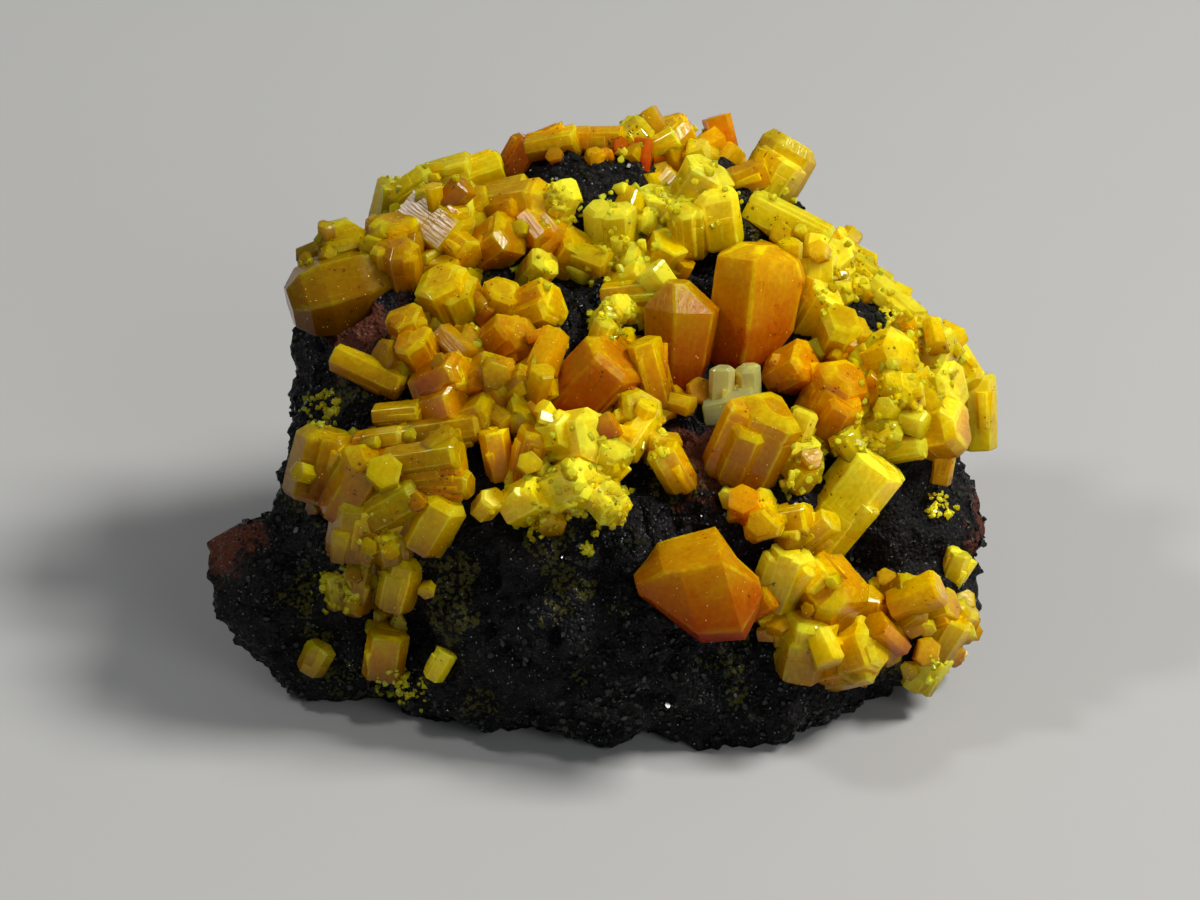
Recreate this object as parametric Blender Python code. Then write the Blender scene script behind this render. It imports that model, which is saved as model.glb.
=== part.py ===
"""Mimetite on matrix: a 39 mm lump of dark gossan crusted with orange to lemon yellow crystals.

Frame: +Z up, the front of the specimen faces -Y, and the origin is the middle of its footprint.
Lengths are in millimetres until they reach a mesh, which holds metres.
"""

import math
from dataclasses import dataclass

import bmesh
import bpy
import numpy as np
from mathutils import Matrix, Vector
from mathutils.bvhtree import BVHTree

MM = 0.001
SIXTH_TURN = math.radians(60)
FLAT_SHARE = math.cos(math.radians(30))  # a hexagon's face distance over its radius

# The layout views: crystals are placed by eye, in millimetres across and up from the middle of a view.
EYE_ELEVATION = 32.0
EYE_DISTANCE = 300.0
LOOK_AT = Vector((0.0, 0.0, 9.4))
SIGHT_STEPS = range(-20, 21)  # where a line of sight that misses the rock is searched

# From the frame of the layout to the middle of the finished footprint.
TO_ORIGIN = Vector((-0.3, 1.45, 0.0))

# The rock is the outer wall of overlapping ellipsoids, seen from one point inside them all.
ROCK_HEART = np.array((0.0, -0.5, 8.5))
ROCK_LUMPS = (
    # centre, radii
    ((0.0, -3.6, 5.0), (12.6, 9.6, 9.0)),  # front belly down to the foot
    ((0.0, -4.0, 9.0), (13.0, 8.3, 6.8)),  # brow over the belly
    ((0.0, 1.0, 12.0), (12.0, 7.0, 6.4)),  # middle of the sloping top
    ((0.0, 4.4, 8.0), (12.5, 8.4, 9.5)),  # back
    ((-8.8, 0.5, 10.5), (6.0, 7.2, 7.0)),  # left flank
    ((-9.6, 2.5, 12.6), (4.9, 5.6, 5.6)),  # upper left flank
    ((-11.0, -3.5, 8.0), (4.4, 5.5, 5.0)),  # left shoulder over the knob's root
    ((-16.0, -6.0, 5.6), (3.3, 3.2, 3.1)),  # overhanging knob at the left
    ((-12.5, -5.0, 5.0), (4.6, 4.0, 3.6)),  # root of the knob
    ((-13.0, -4.6, 2.8), (4.4, 4.4, 3.6)),  # foot under the knob
    ((-8.0, -7.0, 2.5), (5.0, 4.6, 4.0)),  # foot left of the belly
    ((-6.5, 5.5, 14.6), (5.2, 4.8, 5.2)),  # boulder at the top left
    ((-0.5, 7.6, 17.6), (4.2, 4.0, 4.9)),  # boulder at the top
    ((6.6, 7.4, 15.8), (4.6, 4.4, 5.4)),  # boulder at the top right
    ((10.5, 1.5, 11.5), (6.2, 6.8, 6.0)),  # right shoulder
    ((13.9, -1.5, 7.2), (4.2, 5.6, 6.4)),  # right wall
    ((12.6, -6.0, 3.2), (5.4, 4.8, 3.9)),  # shelf at the lower right
    ((7.0, -8.0, 2.5), (5.0, 4.4, 4.0)),  # foot right of the belly
)
LUMP_SHARPNESS = 14.0
ROCK_CORNERS = 1110
GOLDEN_TURN = math.pi * (3 - math.sqrt(5))

# Crags on the rock: size of the pattern, height, seed.
ROCK_CRAGS = ((5.0, 1.0, 1), (2.4, 0.5, 2))
RIDGE_SIZE = 3.3
RIDGE_HEIGHT = 0.7
RIDGE_SEED = 3

# Noise: a large sine scrambles each lattice corner's key, and seeds move the lattice.
NOISE_KEY = np.array((127.1, 311.7, 74.7))
NOISE_STRETCH = 43758.5453
SEED_SHIFT = 17.0

# The gap left between pieces, and the radial growth of the rock that leaves about as much on its slopes.
GAP = 0.3
ROCK_GROWTH = 0.4
CUTTER_FLOOR = -1.0

# A crystal's end: the flat face is smaller than the prism by a bevelled rim.
RIM_INSET = 0.24
RIM_HEIGHT = 0.3
RIM_LEAST_RADIUS = 1.15
ROOT_TAPER = 0.94

# Forms of the main crystals, from root to end: height from -1 to 1, then the distances of the six
# faces from the axis, each as a share of a regular prism's.
DOMED = (
    (-1.0, (0.62, 0.10, 0.50, 0.60, 0.95, 0.80)),
    (-0.78, (0.80, 0.50, 0.70, 0.70, 1.00, 0.92)),
    (-0.28, (0.96, 0.98, 0.90, 0.90, 1.00, 1.00)),
    (0.5, (1.00, 1.12, 1.00, 1.00, 0.94, 1.00)),
    (0.8, (0.93, 0.98, 0.93, 0.93, 0.90, 0.93)),
    (1.0, (0.34, 0.42, 0.34, 0.34, 0.42, 0.34)),
)
WEDGED = (
    (-1.0, (0.17, -0.03, 0.02, 0.25, 0.45, 0.40)),
    (-0.71, (0.55, 0.38, 0.38, 0.42, 0.67, 0.63)),
    (-0.48, (0.71, 0.74, 0.70, 0.80, 0.91, 0.80)),
    (-0.2, (0.85, 1.16, 0.90, 0.90, 0.91, 0.84)),
    (0.52, (0.92, 1.35, 0.95, 0.90, 0.91, 0.84)),
    (0.75, (0.72, 1.05, 0.70, 0.50, 0.14, 0.46)),
    (1.0, (0.46, 0.64, 0.40, 0.10, -0.27, 0.00)),
)
BARREL = (
    (-1.0, (0.74, 0.74, 0.74, 0.74, 0.74, 0.74)),
    (-0.4, (0.94, 0.95, 0.94, 0.94, 0.95, 0.94)),
    (0.3, (1.00, 1.00, 1.00, 1.00, 1.00, 1.00)),
    (0.7, (0.84, 0.88, 0.84, 0.84, 0.88, 0.84)),
    (1.0, (0.44, 0.52, 0.44, 0.44, 0.52, 0.44)),
)
GABLED = (
    (-1.0, (0.70, 0.62, 0.70, 0.70, 0.62, 0.70)),
    (-0.5, (0.90, 0.84, 0.90, 0.90, 0.84, 0.90)),
    (0.5, (1.00, 1.00, 1.00, 1.00, 1.00, 1.00)),
    (1.0, (0.42, 0.10, 0.36, 0.42, 0.46, 0.60)),
)


@dataclass(frozen=True)
class Crystal:
    """A hexagonal prism with a flat end inside a bevelled rim, laid out in one view.

    Its middle shows at across, up. Lean is the angle of its axis in the view, from the right
    anticlockwise; toward is the tilt of its growing end to the eye; out brings it off the rock.
    Form is one of the forms above, or empty for a plain prism.
    """

    across: float
    up: float
    radius: float
    length: float
    lean: float
    toward: float
    roll: float = 0.0
    out: float = 0.0
    form: tuple = ()


@dataclass(frozen=True)
class Tone:
    """A plain finish: its name, colour and roughness."""

    name: str
    colour: tuple
    roughness: float


class View:
    """A viewpoint above the horizon from which crystals are laid out on the rock."""

    def __init__(self, azimuth, elevation=EYE_ELEVATION):
        """Face the specimen from azimuth degrees round it, 0 at its front and 90 at its right."""
        turn, rise = math.radians(azimuth), math.radians(elevation)
        level = Vector((math.sin(turn), -math.cos(turn), 0))
        self.back = level * math.cos(rise) + Vector((0, 0, math.sin(rise)))
        self.right = Vector((math.cos(turn), math.sin(turn), 0))
        self.up = self.back.cross(self.right)
        self.eye = LOOK_AT + self.back * EYE_DISTANCE

    def seat(self, crystal, rock_tree):
        """Matrix of the crystal's place: where its line of sight meets the rock, or passes nearest."""
        target = LOOK_AT + self.right * crystal.across + self.up * crystal.up
        sight = (target - self.eye).normalized()
        hit = rock_tree.ray_cast(self.eye, sight)[0]
        if hit is None:
            passing = [self.eye + sight * (EYE_DISTANCE + step) for step in SIGHT_STEPS]
            hit = min(passing, key=lambda place: rock_tree.find_nearest(place)[3])
        middle = hit - sight * crystal.out
        lean, toward = math.radians(crystal.lean), math.radians(crystal.toward)
        flat = self.right * math.cos(lean) + self.up * math.sin(lean)
        axis = flat * math.cos(toward) + self.back * math.sin(toward)
        face = self.back * math.cos(toward) - flat * math.sin(toward)
        frame = Matrix((face, axis.cross(face), axis)).transposed().to_4x4()
        return Matrix.Translation(middle) @ frame @ Matrix.Rotation(math.radians(crystal.roll), 4, "Z")


FRONT = View(0)
BACK = View(180)
LEFT = View(270)
RIGHT = View(90)

ORANGE = Tone("mimetite_orange", (0.72, 0.20, 0.01), 0.25)
AMBER = Tone("mimetite_amber", (0.68, 0.30, 0.015), 0.28)
LEMON = Tone("mimetite_lemon", (0.70, 0.52, 0.03), 0.32)
GOSSAN = Tone("gossan", (0.020, 0.017, 0.018), 0.6)

# Each group of intergrown crystals: name, tone, view, then its crystals
# as across, up, radius, length, lean, toward, roll, out, form.
GROUPS = (
    ("big_orange_crystal", ORANGE, FRONT, (
        Crystal(7.7, 7.1, 2.45, 6.4, 86, 8, 25, 1.2, DOMED),
    )),
    ("front_orange_crystal", ORANGE, FRONT, (
        Crystal(4.9, -6.6, 2.75, 5.8, 15, 4, 10, 1.2, WEDGED),
        Crystal(7.8, -7.7, 0.85, 2.2, 30, 30, 0, 0.8),
    )),
    ("upper_left_crystal", AMBER, FRONT, (
        Crystal(-13.0, 7.9, 2.15, 5.2, 197, 8, 15, 0.2, BARREL),
    )),
    ("upper_left_cluster", AMBER, FRONT, (
        Crystal(-10.2, 10.2, 1.6, 3.0, 95, 25, 10, 0.3),
        Crystal(-9.9, 8.9, 1.3, 3.2, 100, 25, 0, 0.6),
        Crystal(-8.2, 11.2, 1.5, 3.4, -38, 30, 0, 0.9),
        Crystal(-6.9, 10.0, 0.9, 2.0, -38, 45, 0, 1.2),
        Crystal(-4.3, 11.7, 1.9, 4.4, 8, 25, 0, 0.6),
        Crystal(-2.8, 10.9, 1.4, 2.8, -50, 30, 0, 0.7),
        Crystal(-5.4, 10.2, 1.4, 3.0, 35, 35, 0, 0.7),
        Crystal(-1.5, 9.7, 1.2, 2.6, 60, 40, 0, 0.5),
        Crystal(-7.8, 8.9, 0.9, 2.2, 0, 30, 0, 0.7),
        Crystal(-3.2, 8.9, 0.9, 2.2, 50, 40, 0, 0.6),
        Crystal(-2.0, 12.3, 0.9, 2.4, 60, 30, 0, 0.5),
    )),
    ("middle_left_cluster", AMBER, FRONT, (
        Crystal(-7.3, 7.2, 1.6, 3.8, 115, 35, 0, 0.7),
        Crystal(-5.2, 6.9, 1.2, 3.0, 70, 35, 0, 0.8),
        Crystal(-3.4, 6.8, 1.3, 3.2, 20, 30, 0, 0.7),
    )),
    ("centre_left_cluster", AMBER, FRONT, (
        Crystal(-9.5, 5.9, 1.0, 2.4, 110, 40, 0, 0.8),
        Crystal(-9.0, 4.6, 1.0, 2.6, 120, 35, 0, 0.8),
        Crystal(-6.9, 5.2, 1.0, 2.4, 30, 45, 0, 1.0),
        Crystal(-4.7, 5.3, 1.3, 2.8, 35, 40, 0, 1.2),
        Crystal(-2.8, 4.9, 1.0, 2.2, 60, 50, 0, 0.8),
        Crystal(-7.7, 3.3, 1.3, 3.0, 20, 35, 0, 1.0),
        Crystal(-5.8, 3.2, 1.5, 3.2, 30, 35, 0, 1.0),
        Crystal(-3.6, 3.1, 1.3, 2.8, 30, 35, 0, 0.8),
        Crystal(-8.0, 2.2, 1.0, 2.4, 15, 45, 0, 1.2),
        Crystal(-6.3, 1.6, 1.2, 2.6, 20, 40, 0, 0.8),
        Crystal(-10.1, 1.8, 0.7, 2.4, 5, 20, 0, 0.8),
        Crystal(-7.7, 0.9, 0.8, 3.6, 8, 15, 0, 1.0),
        Crystal(-3.9, 1.7, 1.0, 2.4, 60, 40, 0, 0.6),
    )),
    ("centre_orange_crystal", ORANGE, FRONT, (
        Crystal(-0.3, 3.3, 1.9, 3.9, 46, 25, 10, 1.2),
        Crystal(-0.1, 5.3, 0.7, 2.6, 70, 20, 0, 0.8),
    )),
    ("lower_centre_cluster", LEMON, FRONT, (
        Crystal(-1.4, 0.5, 1.7, 3.6, 10, 45, 0, 1.5),
        Crystal(-3.5, -0.3, 0.95, 2.9, 75, 25, 0, 1.2),
        Crystal(-5.2, -0.2, 0.8, 2.6, 100, 20, 0, 0.8),
        Crystal(0.4, -0.6, 1.1, 2.6, 60, 35, 0, 1.2),
        Crystal(-1.6, -1.9, 1.4, 3.0, 20, 40, 0, 1.2),
        Crystal(0.1, -2.4, 1.0, 2.4, -50, 30, 0, 1.0),
        Crystal(-3.6, -2.6, 1.1, 2.4, 30, 40, 0, 0.9),
        Crystal(-5.6, -2.7, 0.7, 1.6, 50, 50, 0, 0.8),
    )),
    ("left_cluster", AMBER, FRONT, (
        Crystal(-14.0, -0.7, 1.6, 3.6, 75, 10, 0, 0.6),
        Crystal(-12.2, -1.6, 1.7, 3.8, 60, 25, 0, 0.8),
        Crystal(-12.2, -3.9, 1.4, 3.0, 80, 20, 0, 0.5),
        Crystal(-10.6, 0.3, 0.9, 3.2, 8, 20, 0, 0.8),
        Crystal(-9.0, -0.7, 1.1, 4.6, 8, 20, 0, 1.2),
        Crystal(-8.0, -1.7, 0.8, 3.2, 0, 20, 0, 1.1),
        Crystal(-10.2, -2.7, 1.3, 3.0, 30, 20, 0, 0.6),
        Crystal(-8.4, -3.5, 1.3, 3.0, 60, 20, 0, 0.4),
        Crystal(-10.4, -4.3, 1.1, 2.4, 100, 20, 0, 0.3),
    )),
    ("small_left_prism", AMBER, FRONT, (
        Crystal(-11.6, 3.9, 0.85, 3.8, -25, 15, 0, 0.6),
    )),
    ("top_middle_cluster", LEMON, FRONT, (
        Crystal(0.8, 10.9, 1.3, 2.8, 95, 30, 0, 0.6),
        Crystal(2.6, 11.5, 1.3, 3.4, 80, 25, 0, 0.6),
        Crystal(5.0, 12.8, 1.5, 3.2, 60, 25, 0, 0.4),
        Crystal(5.9, 11.6, 1.2, 3.0, 100, 25, 0, 0.6),
        Crystal(4.5, 11.0, 1.1, 2.8, 95, 35, 0, 0.8),
        Crystal(3.1, 9.5, 1.1, 2.6, 60, 40, 0, 0.6),
        Crystal(1.3, 9.2, 1.1, 2.6, 30, 45, 0, 0.6),
    )),
    ("level_gold_prism", LEMON, FRONT, (
        Crystal(1.9, 7.8, 0.9, 3.6, 5, 20, 0, 0.7),
    )),
    ("small_lemon_prism", LEMON, FRONT, (
        Crystal(0.6, 6.8, 0.8, 2.2, 40, 45, 0, 0.6),
    )),
    ("second_orange_crystal", ORANGE, FRONT, (
        Crystal(4.0, 5.8, 2.0, 5.2, 86, 10, 20, 0.6, GABLED),
    )),
    ("centre_gold_prism", AMBER, FRONT, (
        Crystal(2.6, 3.8, 0.95, 3.4, 105, 15, 0, 1.1),
    )),
    ("speckled_crystal", AMBER, FRONT, (
        Crystal(1.7, 1.5, 1.25, 2.4, 60, 50, 0, 0.8),
        Crystal(3.7, -0.8, 0.9, 2.6, 120, 30, 0, 0.6),
        Crystal(2.8, 0.2, 0.7, 1.8, 80, 30, 0, 0.5),
    )),
    ("pale_twin_prisms", LEMON, FRONT, (
        Crystal(6.1, 2.7, 0.75, 3.0, 88, 15, 0, 1.0),
        Crystal(7.3, 2.8, 0.75, 2.8, 92, 15, 0, 0.9),
        Crystal(6.6, 1.9, 1.1, 2.6, 10, 10, 0, 0.3),
    )),
    ("right_cluster", AMBER, FRONT, (
        Crystal(9.6, 4.1, 1.3, 2.4, 30, 40, 0, 0.8),
        Crystal(11.7, 2.6, 1.6, 3.4, 60, 30, 0, 0.9),
        Crystal(11.9, 5.6, 1.4, 2.6, 70, 45, 0, 0.9),
        Crystal(10.8, 6.8, 1.0, 2.8, 60, 30, 0, 0.6),
        Crystal(14.1, 4.6, 1.5, 3.0, 20, 35, 0, 0.8),
        Crystal(16.2, 5.0, 1.5, 3.2, -20, 25, 0, 0.6),
        Crystal(14.4, 2.4, 1.5, 3.0, 50, 35, 0, 0.8),
        Crystal(16.6, 2.9, 1.4, 2.8, 10, 35, 0, 0.8),
        Crystal(16.6, 1.0, 1.6, 3.2, 10, 25, 0, 0.9),
        Crystal(17.1, -0.8, 0.65, 1.8, 80, 10, 0, 0.6),
        Crystal(13.9, 1.0, 1.1, 2.4, 30, 35, 0, 0.8),
        Crystal(15.2, 0.0, 0.7, 2.2, 10, 20, 0, 0.8),
        Crystal(12.2, 0.6, 0.9, 2.2, 20, 40, 0, 0.6),
    )),
    ("right_edge_prisms", LEMON, FRONT, (
        Crystal(17.9, 4.2, 1.1, 2.6, -60, 20, 0, 0.3),
        Crystal(18.9, 1.9, 0.95, 3.8, 92, 10, 0, 0.3),
    )),
    ("upper_ridge_prism", LEMON, FRONT, (
        Crystal(9.3, 11.2, 1.0, 4.4, -27, 5, 0, 0.2),
    )),
    ("middle_ridge_prisms", LEMON, FRONT, (
        Crystal(11.6, 9.9, 1.1, 4.6, -28, 5, 20, 0.2),
        Crystal(13.2, 8.6, 1.0, 3.6, -38, 5, 0, 0.2),
    )),
    ("lower_ridge_prism", LEMON, FRONT, (
        Crystal(14.6, 7.2, 1.1, 3.2, -40, 5, 10, 0.2),
    )),
    ("centre_right_crystal", AMBER, FRONT, (
        Crystal(7.8, 0.2, 1.85, 4.6, 65, 25, 0, 1.0),
        Crystal(9.8, -0.7, 1.1, 2.6, 80, 30, 0, 0.5),
    )),
    ("right_lemon_crystal", LEMON, FRONT, (
        Crystal(12.4, -2.6, 1.8, 5.2, 52, 15, 0, 0.9),
    )),
    ("right_small_prisms", AMBER, FRONT, (
        Crystal(10.7, -4.2, 0.9, 2.6, 40, 25, 0, 0.8),
        Crystal(9.2, -3.6, 0.8, 2.6, 10, 25, 0, 0.6),
    )),
    ("lower_right_cluster", AMBER, FRONT, (
        Crystal(11.0, -6.5, 1.9, 4.6, -50, 25, 0, 1.0),
        Crystal(9.2, -6.4, 1.2, 3.2, 70, 25, 0, 0.8),
        Crystal(10.2, -9.6, 1.7, 3.4, 80, 30, 0, 0.6),
        Crystal(12.4, -10.0, 1.7, 3.6, 20, 30, 0, 0.6),
        Crystal(14.9, -7.7, 1.4, 3.0, 40, 30, 0, 0.6),
        Crystal(13.9, -9.6, 1.2, 2.4, -20, 30, 0, 0.4),
    )),
    ("right_end_crystals", AMBER, FRONT, (
        Crystal(17.2, -9.5, 1.1, 2.6, 60, 20, 0, 0.4),
        Crystal(17.9, -8.4, 0.8, 1.8, 40, 20, 0, 0.3),
        Crystal(16.6, -8.0, 0.9, 2.4, 20, 30, 0, 0.4),
        Crystal(16.2, -10.9, 0.9, 2.4, 60, 20, 0, 0.4),
    )),
    ("right_small_lemon", LEMON, FRONT, (
        Crystal(17.7, -6.0, 0.8, 2.0, 70, 20, 0, 0.3),
    )),
    ("knob_side_prism", AMBER, FRONT, (
        Crystal(-12.0, -6.6, 0.75, 3.2, 80, 20, 0, 0.5),
        Crystal(-13.1, -7.0, 0.7, 1.8, 100, 20, 0, 0.3),
    )),
    ("low_left_olive_crystal", AMBER, FRONT, (
        Crystal(-10.0, -6.6, 1.2, 2.8, 75, 20, 0, 0.4),
    )),
    ("low_left_gold_crystal", AMBER, FRONT, (
        Crystal(-10.7, -10.2, 1.1, 2.5, 80, 25, 0, 0.6),
    )),
    ("foot_crystal_left", AMBER, FRONT, (
        Crystal(-14.2, -10.4, 0.8, 1.6, 60, 20, 0, 0.4),
    )),
    ("foot_crystal_right", LEMON, FRONT, (
        Crystal(-8.0, -10.7, 0.65, 1.6, 60, 20, 0, 0.4),
    )),
    ("back_left_crust", LEMON, FRONT, (
        Crystal(-10.2, 12.2, 1.4, 2.6, 75, 10, 0, 0.2),
        Crystal(-9.1, 13.0, 1.3, 2.6, 35, 15, 20, 0.2),
        Crystal(-7.6, 13.4, 1.3, 3.0, 15, 10, 0, 0.2),
        Crystal(-6.0, 13.8, 1.1, 2.6, 20, 0, 30, 0.2),
    )),
    ("back_top_crust", AMBER, FRONT, (
        Crystal(-4.0, 14.6, 0.9, 2.2, 60, 10, 0, 0.2),
        Crystal(-2.4, 15.3, 0.9, 2.6, 10, 10, 0, 0.2),
        Crystal(-0.2, 15.4, 0.9, 2.8, 0, 10, 0, 0.2),
        Crystal(1.6, 15.5, 1.0, 2.4, 40, 10, 0, 0.2),
        Crystal(2.8, 14.9, 1.0, 2.8, 30, 10, 0, 0.2),
    )),
    ("back_right_tip", AMBER, FRONT, (
        Crystal(8.9, 14.0, 1.7, 3.4, 60, 5, 0, 0.2),
        Crystal(7.5, 13.5, 1.0, 2.2, 20, 10, 0, 0.2),
    )),
    ("back_upper_cluster", AMBER, BACK, (
        Crystal(-4.0, 4.5, 1.6, 3.6, 60, 30, 0, 0.5),
        Crystal(-1.8, 3.6, 1.3, 3.2, 110, 30, 0, 0.5),
        Crystal(-3.4, 2.0, 1.4, 3.4, 20, 35, 0, 0.5),
        Crystal(-5.8, 3.0, 1.1, 2.8, 150, 30, 0, 0.4),
    )),
    ("back_low_prisms", LEMON, BACK, (
        Crystal(5.0, -2.0, 1.2, 3.6, 40, 30, 0, 0.4),
        Crystal(5.9, -2.8, 1.0, 2.8, -20, 35, 0, 0.4),
    )),
    ("left_side_crystals", AMBER, LEFT, (
        Crystal(-4.0, 1.0, 1.3, 3.2, 70, 30, 0, 0.4),
        Crystal(-2.4, 0.0, 1.0, 2.6, 20, 30, 0, 0.4),
    )),
    ("right_side_crystals", LEMON, RIGHT, (
        Crystal(3.0, 1.5, 1.2, 3.0, 60, 30, 0, 0.4),
        Crystal(4.6, 0.6, 1.0, 2.8, 120, 30, 0, 0.4),
    )),
)


def lump_exit(directions, centre, radii):
    """Distance from the heart at which each direction leaves an ellipsoid, or 0 where it misses it."""
    radii = np.array(radii)
    start = (ROCK_HEART - np.array(centre)) / radii
    along = directions / radii
    a = (along * along).sum(1)
    b = (along * start).sum(1)
    c = (start * start).sum() - 1.0
    inside = b * b - a * c
    return np.where(inside > 0, (-b + np.sqrt(np.maximum(inside, 0))) / a, 0.0).clip(0)


def lattice_noise(points, size, seed):
    """Smooth noise from -1 to 1 with lumps about size across, from scrambled lattice corners."""
    grid = points / size + SEED_SHIFT * seed
    cell = np.floor(grid)
    part = grid - cell
    part = part * part * (3 - 2 * part)
    total = np.zeros(len(points))
    for corner in np.ndindex(2, 2, 2):
        weight = np.prod(np.where(corner, part, 1 - part), axis=1)
        key = (cell + corner) @ NOISE_KEY
        total += weight * np.modf(np.abs(np.sin(key) * NOISE_STRETCH))[0]
    return total * 2 - 1


def rock_points(directions, growth=0.0):
    """The rock's surface: a soft maximum of the lumps' exits, roughened by crags and ridges."""
    exits = np.array([lump_exit(directions, *lump) for lump in ROCK_LUMPS])
    radius = (exits**LUMP_SHARPNESS).sum(0) ** (1 / LUMP_SHARPNESS)
    points = ROCK_HEART + directions * radius[:, None]
    for size, height, seed in ROCK_CRAGS:
        radius = radius + height * lattice_noise(points, size, seed)
    radius += RIDGE_HEIGHT * (0.5 - np.abs(lattice_noise(points, RIDGE_SIZE, RIDGE_SEED)))
    return ROCK_HEART + directions * (radius + growth)[:, None]


def even_directions(count):
    """Directions spread evenly over a sphere, on a spiral from pole to pole."""
    step = np.arange(count)
    height = 1 - (2 * step + 1) / count
    reach = np.sqrt(1 - height * height)
    turn = step * GOLDEN_TURN
    return np.stack((reach * np.cos(turn), reach * np.sin(turn), height), axis=1)


def link(name, mesh):
    """Put a bmesh, in metres, into the scene as a new object."""
    data = bpy.data.meshes.new(name)
    mesh.to_mesh(data)
    mesh.free()
    obj = bpy.data.objects.new(name, data)
    bpy.context.scene.collection.objects.link(obj)
    return obj


def make_rock(name, growth=0.0, floor=0.0):
    """The rock as a closed mesh, cut off flat where it rests."""
    directions = even_directions(ROCK_CORNERS)
    mesh = bmesh.new()
    for direction in directions:
        mesh.verts.new(direction)
    bmesh.ops.convex_hull(mesh, input=mesh.verts)
    for vertex, place in zip(mesh.verts, rock_points(directions, growth)):
        vertex.co = Vector(place) * MM
    everything = mesh.verts[:] + mesh.edges[:] + mesh.faces[:]
    cut = bmesh.ops.bisect_plane(
        mesh, geom=everything, plane_co=(0, 0, floor * MM), plane_no=(0, 0, 1), clear_inner=True
    )
    rim = [e for e in cut["geom_cut"] if isinstance(e, bmesh.types.BMEdge)]
    bmesh.ops.holes_fill(mesh, edges=rim)
    bmesh.ops.recalc_face_normals(mesh, faces=mesh.faces)
    return link(name, mesh)


def crystal_rings(crystal, growth):
    """Rings of a crystal from root to end: a height, and the distances of its six faces."""
    flat = crystal.radius * FLAT_SHARE
    half = crystal.length / 2 + growth
    if crystal.form:
        levels = [half * height for height, _ in crystal.form]
        faces = [[flat * share + growth for share in shares] for _, shares in crystal.form]
        return list(zip(levels, faces))
    side = flat + growth
    if crystal.radius > RIM_LEAST_RADIUS:
        shoulder = half - crystal.radius * RIM_HEIGHT
        inset = crystal.radius * RIM_INSET * FLAT_SHARE
        return [(-half, [side * ROOT_TAPER] * 6), (shoulder, [side] * 6), (half, [side - inset] * 6)]
    return [(-half, [side * ROOT_TAPER] * 6), (half, [side] * 6)]


def ring_corners(distances):
    """Corners of a hexagon, each where the lines of two neighbouring faces cross."""
    corners = []
    for side, distance in enumerate(distances):
        turn, after = SIXTH_TURN * side, SIXTH_TURN * (side + 1)
        following = distances[(side + 1) % 6]
        x = (distance * math.sin(after) - following * math.sin(turn)) / math.sin(SIXTH_TURN)
        y = (following * math.cos(turn) - distance * math.cos(after)) / math.sin(SIXTH_TURN)
        corners.append((x, y))
    return corners


def make_crystal(name, crystal, place, growth=0.0):
    """A crystal at its place; growth makes it larger all round. The sides of a form aren't quite flat,
    so they are parted into triangles."""
    mesh = bmesh.new()
    loops = []
    for height, distances in crystal_rings(crystal, growth):
        spots = [Vector((x, y, height)) for x, y in ring_corners(distances)]
        loops.append([mesh.verts.new((place @ spot) * MM) for spot in spots])
    for lower, upper in zip(loops, loops[1:]):
        for side in range(6):
            after = (side + 1) % 6
            mesh.faces.new((lower[side], lower[after], upper[after], upper[side]))
    mesh.faces.new(loops[0][::-1])
    mesh.faces.new(loops[-1])
    if crystal.form:
        bmesh.ops.triangulate(mesh, faces=mesh.faces)
    return link(name, mesh)


def combine(base, tool, operation):
    """Apply one exact boolean to the base's mesh."""
    step = base.modifiers.new(operation.lower(), "BOOLEAN")
    step.operation = operation
    step.solver = "EXACT"
    step.object = tool
    shaped = base.evaluated_get(bpy.context.evaluated_depsgraph_get())
    data = bpy.data.meshes.new_from_object(shaped)
    base.modifiers.clear()
    old, base.data = base.data, data
    bpy.data.meshes.remove(old)


def boxes_meet(one, other):
    """Whether the boxes of two objects overlap, so that a cut may be needed."""
    low = np.array([np.min(box, axis=0) for box in (one.bound_box, other.bound_box)])
    high = np.array([np.max(box, axis=0) for box in (one.bound_box, other.bound_box)])
    return bool((low.max(0) < high.min(0)).all())


def keep_largest_part(obj):
    """Drop the chips that cuts leave loose beside a group."""
    mesh = bmesh.new()
    mesh.from_mesh(obj.data)
    left = set(mesh.faces)
    parts = []
    while left:
        part = {left.pop()}
        edge = list(part)
        while edge:
            face = edge.pop()
            near = {f for e in face.edges for f in e.link_faces} & left
            left -= near
            part |= near
            edge.extend(near)
        parts.append(part)
    largest = max(parts, key=lambda part: sum(f.calc_area() for f in part))
    loose = [f for f in mesh.faces if f not in largest]
    bmesh.ops.delete(mesh, geom=loose, context="FACES")
    mesh.to_mesh(obj.data)
    mesh.free()


def discard(obj):
    """Remove a helper object with its mesh."""
    data = obj.data
    bpy.data.objects.remove(obj)
    bpy.data.meshes.remove(data)


def paint(obj, tone):
    """Give the object its own plain material."""
    material = bpy.data.materials.new(f"{obj.name}_{tone.name}")
    material.use_nodes = True
    shader = material.node_tree.nodes["Principled BSDF"]
    shader.inputs["Base Color"].default_value = (*tone.colour, 1)
    shader.inputs["Roughness"].default_value = tone.roughness
    shader.inputs["Metallic"].default_value = 0.0
    obj.data.materials.clear()
    obj.data.materials.append(material)


def rock_tree(rock):
    """The rock's surface in millimetres, for lines of sight."""
    places = [vertex.co / MM for vertex in rock.data.vertices]
    return BVHTree.FromPolygons(places, [face.vertices[:] for face in rock.data.polygons])


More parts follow.
